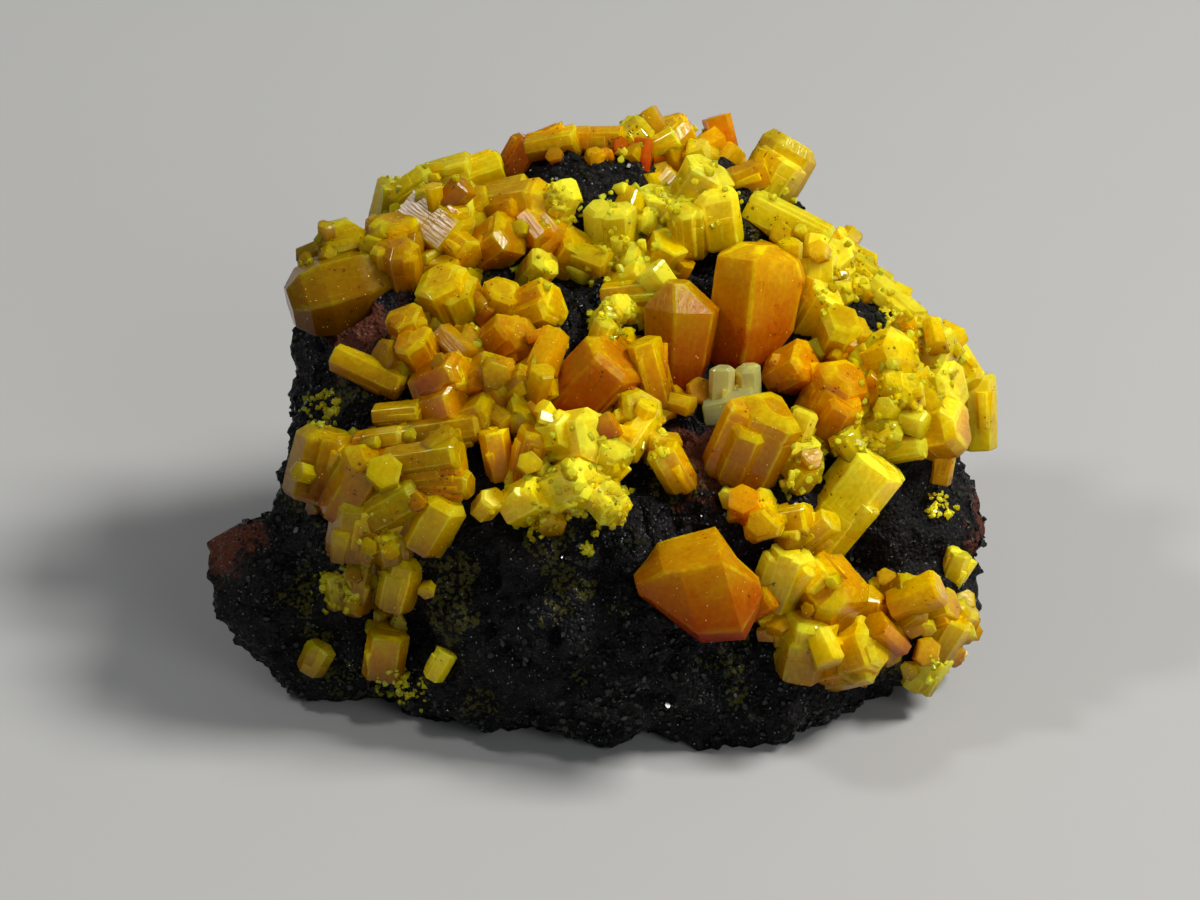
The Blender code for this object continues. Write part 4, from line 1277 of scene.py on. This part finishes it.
class Wiring:
    """Adds nodes to a tree and joins them."""

    def __init__(self, tree: bpy.types.NodeTree) -> None:
        """Take the tree that nodes are added to."""
        self.tree = tree

    def node(
        self, kind: str, inputs: dict[str | int, object] | None = None, **settings: object
    ) -> bpy.types.Node:
        """Add a node.

        Args:
            kind: its type name.
            inputs: for each input, by name or number, a value or the socket that feeds it.
            settings: the node's own properties.

        Returns:
            The node.
        """
        made = self.tree.nodes.new(kind)
        for name, value in settings.items():
            setattr(made, name, value)
        for key, value in (inputs or {}).items():
            if isinstance(value, Socket):
                self.tree.links.new(value, made.inputs[key])
            else:
                made.inputs[key].default_value = value
        return made

    def math(self, operation: str, first: object, second: object = 0.0, clamp: bool = False) -> Socket:
        """Output of a Math node on two values or sockets."""
        node = self.node("ShaderNodeMath", {0: first, 1: second}, operation=operation, use_clamp=clamp)
        return node.outputs[0]

    def blend(self, share: object, first: object, second: object, kind: str = "MIX") -> Socket:
        """Output of a colour Mix node."""
        node = self.node("ShaderNodeMix", {0: share, 6: first, 7: second}, data_type="RGBA", blend_type=kind)
        return node.outputs[2]

    def ramp(self, value: object, stops: tuple[tuple[float, Triple], ...]) -> Socket:
        """Output of a Color Ramp with the given stops."""
        node = self.node("ShaderNodeValToRGB", {0: value})
        elements = node.color_ramp.elements
        while len(elements) < len(stops):
            elements.new(1.0)
        for element, (position, colour) in zip(elements, stops):
            element.position = position
            element.color = (*colour, 1.0)
        return node.outputs[0]

    def span(
        self, value: object, low: float, high: float, to_low: float = 0.0, to_high: float = 1.0
    ) -> Socket:
        """Output of a Map Range node, clamped, from one span to another."""
        node = self.node("ShaderNodeMapRange", {0: value, 1: low, 2: high, 3: to_low, 4: to_high})
        return node.outputs[0]

    def place(self) -> Socket:
        """The object's own place, in metres."""
        return self.node("ShaderNodeTexCoord").outputs["Object"]

    def mark(self, name: str) -> Socket:
        """A number carried on the vertices."""
        return self.node("ShaderNodeAttribute", attribute_name=name).outputs["Fac"]

    def noise(self, place: Socket, scale: object, detail: float, roughness: float = 0.5) -> Socket:
        """Output of a Noise Texture node."""
        given = {"Vector": place, "Scale": scale, "Detail": detail, "Roughness": roughness}
        return self.node("ShaderNodeTexNoise", given).outputs[0]

    def effect(self, group: bpy.types.NodeTree, inputs: dict[str, object]) -> bpy.types.bpy_prop_collection:
        """Outputs of a shared effect that is given some inputs."""
        return self.node("ShaderNodeGroup", inputs, node_tree=group).outputs

    def join(self, output: Socket, socket: Socket) -> None:
        """Feed a socket from an output."""
        self.tree.links.new(output, socket)


def fresh_material(name: str) -> tuple[bpy.types.Material, Wiring, bpy.types.Node]:
    """A new material, the wiring of its tree, and its shader."""
    material = bpy.data.materials.new(name)
    material.use_nodes = True
    tree = material.node_tree
    return material, Wiring(tree), tree.nodes["Principled BSDF"]


@dataclass(frozen=True)
class GroupSocket:
    """A named input of a shader node group with its usual value."""

    name: str
    usual: object
    kind: str = "NodeSocketFloat"


class SharedEffects:
    """Node groups that the finishes share: mottle, specks, grit and patch."""

    def __init__(self) -> None:
        """Build each group once."""
        self.mottle = self._mottle()
        self.specks = self._specks()
        self.grit = self._grit()
        self.patch = self._patch()

    @staticmethod
    def _start(
        name: str, inputs: tuple[GroupSocket, ...], outputs: tuple[str, ...]
    ) -> tuple[Wiring, dict, bpy.types.Node]:
        """Open a new group with its sockets.

        Args:
            name: the group's name.
            inputs: its inputs.
            outputs: names of its outputs, each a number.

        Returns:
            The wiring, the group's inputs by name, and its output node.
        """
        tree = bpy.data.node_groups.new(name, "ShaderNodeTree")
        for item in inputs:
            socket = tree.interface.new_socket(item.name, in_out="INPUT", socket_type=item.kind)
            socket.default_value = item.usual
        for item in outputs:
            tree.interface.new_socket(item, in_out="OUTPUT", socket_type="NodeSocketFloat")
        entry = tree.nodes.new("NodeGroupInput")
        given = {item.name: entry.outputs[item.name] for item in inputs}
        return Wiring(tree), given, tree.nodes.new("NodeGroupOutput")

    def _mottle(self) -> bpy.types.NodeTree:
        """Cloudy noise over the object's place, stretched to fill 0 to 1."""
        inputs = (GroupSocket("Size mm", 1.0), GroupSocket("Shift", 0.0))
        wire, given, out = self._start("mottle", inputs, ("Mask",))
        scale = wire.math("DIVIDE", 1.0 / MM, given["Size mm"])
        moved = wire.node("ShaderNodeVectorMath", {0: wire.place(), 1: given["Shift"]}, operation="ADD")
        noise = wire.noise(moved.outputs[0], scale, 3.0)
        wire.join(wire.span(noise, 0.34, 0.66), out.inputs["Mask"])
        return wire.tree

    def _specks(self) -> bpy.types.NodeTree:
        """Ragged specks of many sizes at scattered points, present where a given noise allows them.

        A speck is where the distance to the nearest scattered point, less the ragged value, is
        under the fill times that point's own random share, and the noise is under the cover.
        """
        usual = {"Size mm": 0.3, "Fill": 0.3, "Ragged": 0.5, "Noise": 0.5, "Cover": 0.5}
        inputs = tuple(GroupSocket(name, value) for name, value in usual.items())
        wire, given, out = self._start("specks", inputs, ("Mask",))
        scale = wire.math("DIVIDE", 1.0 / MM, given["Size mm"])
        cells = wire.node("ShaderNodeTexVoronoi", {"Vector": wire.place(), "Scale": scale, "Randomness": 1.0})
        share = wire.node("ShaderNodeSeparateColor", {0: cells.outputs["Color"]}).outputs[1]
        ragged = wire.math("MULTIPLY", wire.math("SUBTRACT", given["Ragged"], 0.5), 0.9)
        distance = wire.math("ADD", cells.outputs["Distance"], ragged)
        speck = wire.math("LESS_THAN", distance, wire.math("MULTIPLY", given["Fill"], share))
        allowed = wire.math("GREATER_THAN", given["Cover"], given["Noise"])
        wire.join(wire.math("MULTIPLY", speck, allowed), out.inputs["Mask"])
        return wire.tree

    def _grit(self) -> bpy.types.NodeTree:
        """Height of a gritty surface: coarse noise, fine noise and small facets added up."""
        inputs = (GroupSocket("Size mm", 0.4), GroupSocket("Facets", 0.5))
        wire, given, out = self._start("grit", inputs, ("Height", "Facet"))
        place = wire.place()
        scale = wire.math("DIVIDE", 1.0 / MM, given["Size mm"])
        noise = wire.noise(place, scale, 3.0, 0.65)
        smaller = wire.math("MULTIPLY", scale, 2.2)
        cells = wire.node("ShaderNodeTexVoronoi", {"Vector": place, "Scale": smaller})
        facet = wire.math("MULTIPLY", cells.outputs["Distance"], given["Facets"])
        wire.join(wire.math("SUBTRACT", noise, facet), out.inputs["Height"])
        tint = wire.node("ShaderNodeSeparateColor", {0: cells.outputs["Color"]})
        wire.join(tint.outputs[0], out.inputs["Facet"])
        return wire.tree

    def _patch(self) -> bpy.types.NodeTree:
        """A ragged patch about one place: 1 inside its reach, less towards a noisy edge."""
        inputs = (
            GroupSocket("Centre", (0.0, 0.0, 0.0), "NodeSocketVector"),
            GroupSocket("Reach mm", 3.0),
            GroupSocket("Ragged", 0.6),
        )
        wire, given, out = self._start("patch", inputs, ("Mask",))
        place = wire.place()
        gap = wire.node("ShaderNodeVectorMath", {0: place, 1: given["Centre"]}, operation="DISTANCE")
        share = wire.math("DIVIDE", wire.math("DIVIDE", gap.outputs["Value"], MM), given["Reach mm"])
        noise = wire.noise(place, 900.0, 3.0, 0.7)
        rough = wire.math("MULTIPLY", wire.math("SUBTRACT", noise, 0.5), given["Ragged"])
        edge = wire.math("ADD", share, wire.math("MULTIPLY", rough, 4.0))
        wire.join(wire.span(edge, 0.75, 1.1, 1.0, 0.0), out.inputs["Mask"])
        return wire.tree


@dataclass(frozen=True)
class RustPatch:
    """A rusty patch on the rock: its place in the layout's frame, and its reach."""

    centre: Triple
    reach: float


@dataclass(frozen=True)
class GossanFinish:
    """Black iron oxide with a dark grey skin, rust, green-yellow dust, glittering facets and painted glints.
    """

    name: str = "gossan"
    black: Triple = (0.002, 0.002, 0.0025)
    grey: Triple = (0.013, 0.011, 0.011)
    rust: Triple = (0.10, 0.026, 0.011)
    dust: Triple = (0.16, 0.15, 0.015)
    painted_glint: Triple = (0.20, 0.22, 0.23)
    rust_patches: tuple[RustPatch, ...] = (
        RustPatch((-18.0, -6.2, 7.6), 1.7),
        RustPatch((4.6, -8.0, 13.4), 2.0),
        RustPatch((-11.5, -1.0, 16.4), 2.2),
        RustPatch((9.0, -10.0, 8.0), 1.6),
        RustPatch((18.0, -2.0, 6.0), 2.2),
    )

    def build(self, effects: SharedEffects) -> bpy.types.Material:
        """Make the material.

        Args:
            effects: the shared node groups.

        Returns:
            The material.
        """
        material, wire, shader = fresh_material(self.name)
        cloud = wire.effect(effects.mottle, {"Size mm": 4.0})[0]
        small_cloud = wire.effect(effects.mottle, {"Size mm": 0.7, "Shift": 3.0})[0]
        tint = wire.math("MULTIPLY", cloud, small_cloud)
        colour = wire.blend(tint, (*self.black, 1), (*self.grey, 1))
        rusty: object = 0.0
        for patch in self.rust_patches:
            centre = tuple((np.array(patch.centre) + TO_ORIGIN) * MM)
            spot = wire.effect(effects.patch, {"Centre": centre, "Reach mm": patch.reach})
            rusty = wire.math("MAXIMUM", rusty, spot[0])
        rusty = wire.math("MULTIPLY", rusty, 0.85)
        colour = wire.blend(rusty, colour, (*self.rust, 1))
        grit = wire.effect(effects.grit, {"Size mm": 0.45, "Facets": 0.6})
        given = {"Size mm": 0.3, "Fill": 0.42, "Ragged": grit["Height"], "Noise": cloud, "Cover": 0.18}
        dust = wire.effect(effects.specks, given)[0]
        colour = wire.blend(wire.math("MULTIPLY", dust, 0.25), colour, (*self.dust, 1))
        # Painted glints: tiny pale grey specks mixed into the rock's colour.
        given = {"Size mm": 0.2, "Fill": 0.22, "Ragged": 0.5, "Noise": grit["Facet"], "Cover": 0.45}
        painted_glint = wire.effect(effects.specks, given)[0]
        colour = wire.blend(painted_glint, colour, (*self.painted_glint, 1))
        wire.join(colour, shader.inputs["Base Color"])
        wire.join(wire.span(grit["Facet"], 0.0, 1.0, 0.26, 0.9), shader.inputs["Roughness"])
        shader.inputs["Specular IOR Level"].default_value = 0.16
        given = {"Strength": 0.9, "Distance": 0.25 * MM, "Height": grit["Height"]}
        bump = wire.node("ShaderNodeBump", given)
        wire.join(bump.outputs[0], shader.inputs["Normal"])
        return material


@dataclass(frozen=True)
class MimetiteFinish:
    """Translucent orange to lemon lead arsenate with a resinous lustre.

    Attributes:
        name: the material's name.
        stops: colours along the tone.
        glow: share of light that is scattered inside.
        clear: share of light that passes straight through.
        specks: how widely dark specks sit on it.
        swing: how far the tone falls at a crystal's foot and rises at its top.
        foot: how bright its foot is as a share of its top: painted shade at the foot between the crystals,
            and dark rock showing through it.
        roughness: smallest and largest roughness.
        gloss, coat: how strongly its body and its thin clear skin mirror.
        speck, painted_sparkle: colours of the dark specks and of the tiny bright painted glints.
        washed: the colour that a pale group is washed out to.
    """

    name: str
    glow: float = 0.8
    clear: float = 0.06
    specks: float = 0.42
    swing: float = 0.3
    foot: float = 0.45
    roughness: tuple[float, float] = (0.1, 0.26)
    gloss: float = 0.2
    coat: float = 0.12
    stops: tuple[tuple[float, Triple], ...] = (
        (0.0, (0.44, 0.03, 0.0)),
        (0.25, (0.53, 0.14, 0.0)),
        (0.5, (0.60, 0.29, 0.0)),
        (0.75, (0.76, 0.55, 0.0)),
        (1.0, (0.88, 0.78, 0.03)),
    )
    speck: Triple = (0.05, 0.03, 0.006)
    painted_sparkle: Triple = (0.98, 0.72, 0.16)
    washed: Triple = (0.40, 0.41, 0.20)

    def build(self, effects: SharedEffects) -> bpy.types.Material:
        """Make the material.

        Args:
            effects: the shared node groups.

        Returns:
            The material.
        """
        material, wire, shader = fresh_material(self.name)
        tone, high, edge = (wire.mark(name) for name in ("tone", "high", "edge"))
        cloud = wire.effect(effects.mottle, {"Size mm": 1.5, "Shift": 1.0})[0]
        fine = wire.noise(wire.place(), 4.0 / MM, 2.0)
        shifted = wire.math("ADD", tone, wire.span(cloud, 0.0, 1.0, -0.06, 0.06))
        shifted = wire.math("ADD", shifted, wire.span(high, 0.0, 1.0, -self.swing, self.swing * 0.8))
        # Painted highlight: the tone is raised along the chamfers and round the ends, as light caught at the
        # edges.
        painted_edge_highlight = wire.math("MULTIPLY", wire.span(edge, 0.86, 1.0), wire.span(cloud, 0.2, 0.8, 0.04, 0.2))
        shifted = wire.math("ADD", shifted, painted_edge_highlight)
        own = wire.node("ShaderNodeAttribute", attribute_name="own_place").outputs["Vector"]
        stretched = wire.node("ShaderNodeVectorMath", {0: own, 1: (4.0, 4.0, 0.5)}, operation="MULTIPLY")
        lines = wire.noise(stretched.outputs[0], 1.6, 2.0)
        shifted = wire.math("ADD", shifted, wire.span(lines, 0.6, 0.72, 0.0, 0.12))
        shifted = wire.math("ADD", shifted, wire.span(fine, 0.3, 0.7, -0.035, 0.035), clamp=True)
        colour = wire.ramp(shifted, self.stops)
        colour = wire.blend(wire.mark("pale"), colour, (*self.washed, 1))
        # Painted shade: darker towards each crystal's foot and where the shade mark is low, with a faint fine
        # mottle.
        depth = wire.math("MULTIPLY", wire.span(high, 0.0, 0.7, self.foot, 1.0), wire.mark("shade"))
        depth = wire.math("MULTIPLY", depth, wire.span(fine, 0.3, 0.7, 0.93, 1.03))
        shade = wire.node("ShaderNodeCombineColor", {channel: depth for channel in range(3)})
        colour = wire.blend(1.0, colour, shade.outputs[0], "MULTIPLY")
        given = {"Size mm": 0.24, "Fill": 0.3, "Ragged": fine, "Noise": cloud, "Cover": self.specks}
        speck = wire.effect(effects.specks, given)[0]
        colour = wire.blend(wire.math("MULTIPLY", speck, 0.75), colour, (*self.speck, 1))
        # Painted glints: tiny pale gold sparkles mixed into the colour.
        given = {"Size mm": 0.26, "Fill": 0.15, "Ragged": 0.5, "Noise": fine, "Cover": 0.56}
        painted_sparkle_mask = wire.effect(effects.specks, given)[0]
        colour = wire.blend(wire.math("MULTIPLY", painted_sparkle_mask, 0.75), colour, (*self.painted_sparkle, 1))
        wire.join(colour, shader.inputs["Base Color"])
        wire.join(wire.span(cloud, 0.0, 1.0, *self.roughness), shader.inputs["Roughness"])
        height = wire.math("ADD", lines, wire.math("MULTIPLY", fine, 0.2))
        bump = wire.node("ShaderNodeBump", {"Strength": 0.3, "Distance": 0.08 * MM, "Height": height})
        wire.join(bump.outputs[0], shader.inputs["Normal"])
        shader.subsurface_method = "BURLEY"
        shader.inputs["IOR"].default_value = 1.55
        shader.inputs["Subsurface Weight"].default_value = self.glow
        shader.inputs["Subsurface Radius"].default_value = (1.0, 0.5, 0.04)
        shader.inputs["Subsurface Scale"].default_value = 1.6 * MM
        shader.inputs["Transmission Weight"].default_value = self.clear
        shader.inputs["Specular IOR Level"].default_value = self.gloss
        shader.inputs["Coat Weight"].default_value = self.coat
        shader.inputs["Coat Roughness"].default_value = 0.04
        shader.inputs["Coat IOR"].default_value = 1.5
        return material


@dataclass(frozen=True)
class DruseFinish:
    """Tiny black to bottle-green crystals with a bright lustre."""

    name: str = "black_druse"
    dark: Triple = (0.003, 0.003, 0.004)
    green: Triple = (0.016, 0.026, 0.012)

    def build(self, effects: SharedEffects) -> bpy.types.Material:
        """Make the material, its green share following each crystal's tone."""
        material, wire, shader = fresh_material(self.name)
        cloud = wire.effect(effects.mottle, {"Size mm": 0.8, "Shift": 2.0})[0]
        share = wire.math("MULTIPLY", wire.mark("tone"), cloud)
        wire.join(wire.blend(share, (*self.dark, 1), (*self.green, 1)), shader.inputs["Base Color"])
        wire.join(wire.span(cloud, 0.0, 1.0, 0.12, 0.36), shader.inputs["Roughness"])
        shader.inputs["Specular IOR Level"].default_value = 0.35
        return material


# The studio


@dataclass(frozen=True)
class Softbox:
    """A square area light that faces the specimen.

    Attributes:
        name: its name.
        place: where it hangs, in metres from the specimen.
        size: its width and height in metres.
        power: watts.
        colour: its tint.
        mirrored: whether it shows in glossy faces.
    """

    name: str
    place: Triple
    size: tuple[float, float]
    power: float
    colour: Triple = (1.0, 1.0, 1.0)
    mirrored: bool = True

    def hang(self, target: Vector) -> None:
        """Put the light into the scene, aimed at the target."""
        data = bpy.data.lights.new(self.name, "AREA")
        data.shape = "RECTANGLE"
        data.size, data.size_y = self.size
        data.energy = self.power
        data.color = self.colour
        lamp = bpy.data.objects.new(self.name, data)
        lamp.location = Vector(self.place)
        lamp.visible_glossy = self.mirrored
        lamp.rotation_mode = "QUATERNION"
        lamp.rotation_quaternion = (target - lamp.location).to_track_quat("-Z", "Y")
        bpy.context.scene.collection.objects.link(lamp)


@dataclass
class Studio:
    """A pale floor, softboxes and the camera at the front view's eye.

    Attributes:
        lens: the camera's focal length in millimetres.
        nearest: how near the camera sees, in metres.
        floor_reach: half the floor's width, in millimetres.
        floor_rows: how many rows of vertices the floor has.
        floor_colour: its colour.
        sky, sky_strength: colour and strength of the even light round about.
        softboxes: its lights.
    """

    lens: float = 180.0
    nearest: float = 0.02
    floor_reach: float = 900.0
    floor_rows: int = 9
    floor_colour: Triple = (0.44, 0.44, 0.43)
    sky: Triple = (0.75, 0.78, 0.82)
    sky_strength: float = 0.13
    softboxes: tuple[Softbox, ...] = (
        Softbox("key", (0.27, 0.0, 0.33), (0.12, 0.10), 1.95, (1.0, 0.98, 0.95)),
        Softbox("glint", (-0.30, 0.0, 0.36), (0.05, 0.04), 0.5),
        Softbox("fill", (0.30, -0.46, 0.34), (0.30, 0.30), 0.85, (0.96, 0.98, 1.0), mirrored=False),
    )

    def place_camera(self) -> None:
        """Set the camera where the front view's eye is, looking at the view's middle."""
        data = bpy.data.cameras.new("camera")
        data.lens = self.lens
        data.clip_start = self.nearest
        camera = bpy.data.objects.new("camera", data)
        camera.location = Vector((FRONT.eye + TO_ORIGIN) * MM)
        camera.rotation_mode = "QUATERNION"
        camera.rotation_quaternion = Vector(-FRONT.back).to_track_quat("-Z", "Y")
        bpy.context.scene.collection.objects.link(camera)
        bpy.context.scene.camera = camera

    def lay_floor(self) -> bpy.types.Object:
        """Lay a wide plain floor under the specimen, a grid of two parameters with a faint grain."""
        count = self.floor_rows
        side = np.linspace(-self.floor_reach, self.floor_reach, count)
        x, y = np.meshgrid(side, side, indexing="xy")
        vertices = np.stack((x, y, np.zeros_like(x)), -1).reshape(-1, 3)
        row, column = np.meshgrid(np.arange(count - 1), np.arange(count - 1), indexing="ij")
        first = row * count + column
        faces = np.stack((first, first + 1, first + count + 1, first + count), -1).reshape(-1, 4)
        floor = Skin(vertices, faces).to_object("studio_floor")
        material, wire, shader = fresh_material("pale_floor")
        grain = wire.noise(wire.place(), 60.0, 6.0)
        low = tuple(value * 0.97 for value in self.floor_colour)
        wire.join(wire.blend(grain, (*low, 1), (*self.floor_colour, 1)), shader.inputs["Base Color"])
        shader.inputs["Roughness"].default_value = 0.6
        floor.data.materials.append(material)
        return floor

    def light(self) -> None:
        """Hang the softboxes and set a dim even sky."""
        target = Vector((LOOK_AT + TO_ORIGIN) * MM)
        for box in self.softboxes:
            box.hang(target)
        world = bpy.data.worlds.new("sky")
        world.use_nodes = True
        ground = world.node_tree.nodes["Background"]
        ground.inputs["Color"].default_value = (*self.sky, 1)
        ground.inputs["Strength"].default_value = self.sky_strength
        bpy.context.scene.world = world

    def build(self) -> None:
        """Camera, floor and lights, shown with the colours as they are."""
        bpy.context.scene.view_settings.view_transform = "Standard"
        self.place_camera()
        self.lay_floor()
        self.light()


# The specimen


class Specimen:
    """The whole specimen: rock, crystal groups, crust, grains and druse, dressed and settled."""

    def __init__(self, nodes: dict[str, bpy.types.Object]) -> None:
        """Take the solids and make the finishes."""
        self.nodes = nodes
        self.rng = np.random.default_rng(SEED)
        effects = SharedEffects()
        self.gossan = GossanFinish().build(effects)
        self.druse = DruseFinish().build(effects)
        self.mimetite = {
            Tone.ORANGE: MimetiteFinish(
                "mimetite_orange", specks=0.14, swing=0.34, foot=0.55,
                roughness=(0.24, 0.4), gloss=0.08, coat=0.03,
            ).build(effects),
            Tone.AMBER: MimetiteFinish("mimetite_amber", specks=0.22, swing=0.18, foot=0.46).build(effects),
            Tone.LEMON: MimetiteFinish("mimetite_lemon", specks=0.2, swing=0.14, foot=0.8).build(effects),
        }

    def solid_tree(self, node: str) -> BVHTree:
        """The surface of a solid, in millimetres of the layout frame, for lines of sight."""
        mesh = self.nodes[node].data
        places = np.empty(len(mesh.vertices) * 3)
        mesh.vertices.foreach_get("co", places)
        places = places.reshape(-1, 3) / MM - TO_ORIGIN
        return BVHTree.FromPolygons(places.tolist(), [face.vertices[:] for face in mesh.polygons])

    def settle(
        self, skin: Skin, name: str, slot: str, material: bpy.types.Material, *nodes: str
    ) -> bpy.types.Object:
        """Make a skin a piece of the scene.

        Args:
            skin: its surface.
            name: its name.
            slot: the record's slot; not used.
            material: its finish.
            nodes: the solids that it stands for.

        Returns:
            The piece.
        """
        skin.vertices[:, 2] = np.maximum(skin.vertices[:, 2], 0.0)
        piece = skin.to_object(name)
        piece.data.materials.append(material)
        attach(piece, "root")
        if nodes:
            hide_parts(*nodes)
        LOG.info("%s: %d faces", name, len(piece.data.polygons))
        return piece

    def build(self) -> None:
        """Build every piece, from the rock out."""
        tree = self.solid_tree("matrix_rock")
        rock = GossanRock().skin()
        self.settle(rock, "gossan_rock", "gossan", self.gossan, "matrix_rock")
        skins = [(rock, True)]
        for group in GROUPS:
            skin = group.build(tree, self.rng)
            slot = group.finish.value
            self.settle(skin, f"{group.node}_faces", slot, self.mimetite[group.finish], group.node)
            skins.append((skin, False))
        skins.append((self.add_crust(skins), False))
        self.add_grains(skins)
        self.add_druse(skins)

    def add_crust(self, skins: list[tuple[Skin, bool]]) -> Skin:
        """Fill the room between the large crystals with small ones, apart from the bare spots.

        Returns:
            The small crystals as one skin.
        """
        perches = Perches.on(skins, CRUST_SOWING.tried, self.rng)
        crust = []
        for zone in CRUST_ZONES:
            across, up = zone.view.shown_at(perches.places)
            inside = zone.holds(across, up) & CRUST_SOWING.allows(perches, zone.view)
            if zone.view is FRONT:
                inside &= ~np.any([spot.holds(across, up) for spot in BARE_SPOTS + CLEAN_FACES], axis=0)
            places = perches.drawn(inside, zone.count, CRUST_SOWING.favour, self.rng)
            tones = (max(zone.tone - 0.2, 0.0), min(zone.tone + 0.2, 1.0))
            swarm = Swarm((SMALLEST_CRUST, zone.largest), (1.7, 3.0), 0.4, 0.5, tones)
            crust.append(swarm.build(places, self.rng))
        skin = Skin.joined(crust)
        self.settle(skin, "amber_crust", "mimetite_amber", self.mimetite[Tone.AMBER])
        return skin

    def add_grains(self, skins: list[tuple[Skin, bool]]) -> None:
        """Sow granular mimetite on the patches where the views show it."""
        perches = Perches.on(skins, GRAIN_SOWING.tried, self.rng)
        grains = []
        for patch in GRAIN_PATCHES:
            across, up = patch.view.shown_at(perches.places)
            reach = patch.reach * self.rng.uniform(0.3, 1.25, len(across))
            inside = np.hypot(across - patch.across, up - patch.up) < reach
            inside &= GRAIN_SOWING.allows(perches, patch.view)
            if patch.view is FRONT:
                inside &= ~np.any([spot.holds(across, up) for spot in CLEAN_FACES], axis=0)
            places = perches.drawn(inside, 2 * patch.count, GRAIN_SOWING.favour, self.rng)
            tones = (max(patch.tone - 0.15, 0.0), min(patch.tone + 0.1, 1.0))
            swarm = Swarm((patch.size * 0.25, patch.size * 0.7), (1.6, 3.4), 0.6, 0.5, tones)
            grains.append(swarm.build(places, self.rng))
        skin = Skin.joined(grains)
        self.settle(skin, "lemon_grains", "mimetite_lemon", self.mimetite[Tone.LEMON])

    def add_druse(self, skins: list[tuple[Skin, bool]]) -> None:
        """Sow black druse over the rock, thick where a noise is high and bare where it is low."""
        perches = Perches.on(skins[:1], DRUSE_TRIED, self.rng)
        thick = lattice_noise(perches.places, 3.0, 41) + 0.5 * lattice_noise(perches.places, 1.2, 42)
        above = perches.places[:, 2] > DRUSE_LOWEST
        keep = np.flatnonzero((thick > self.rng.uniform(-0.2, 0.9, len(thick))) & above)[:DRUSE_COUNT]
        swarm = Swarm((0.05, 0.2), (1.0, 2.2), 0.8, 0.55, (0.0, 1.0))
        self.settle(swarm.build(perches.chosen(keep), self.rng), "black_druse", "gossan", self.druse)


def main() -> None:
    """Build the studio and the specimen."""
    logging.basicConfig(level=logging.INFO, format="%(message)s")
    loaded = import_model()
    Studio().build()
    Specimen(loaded["nodes"]).build()


if __name__ == "__main__":
    main()
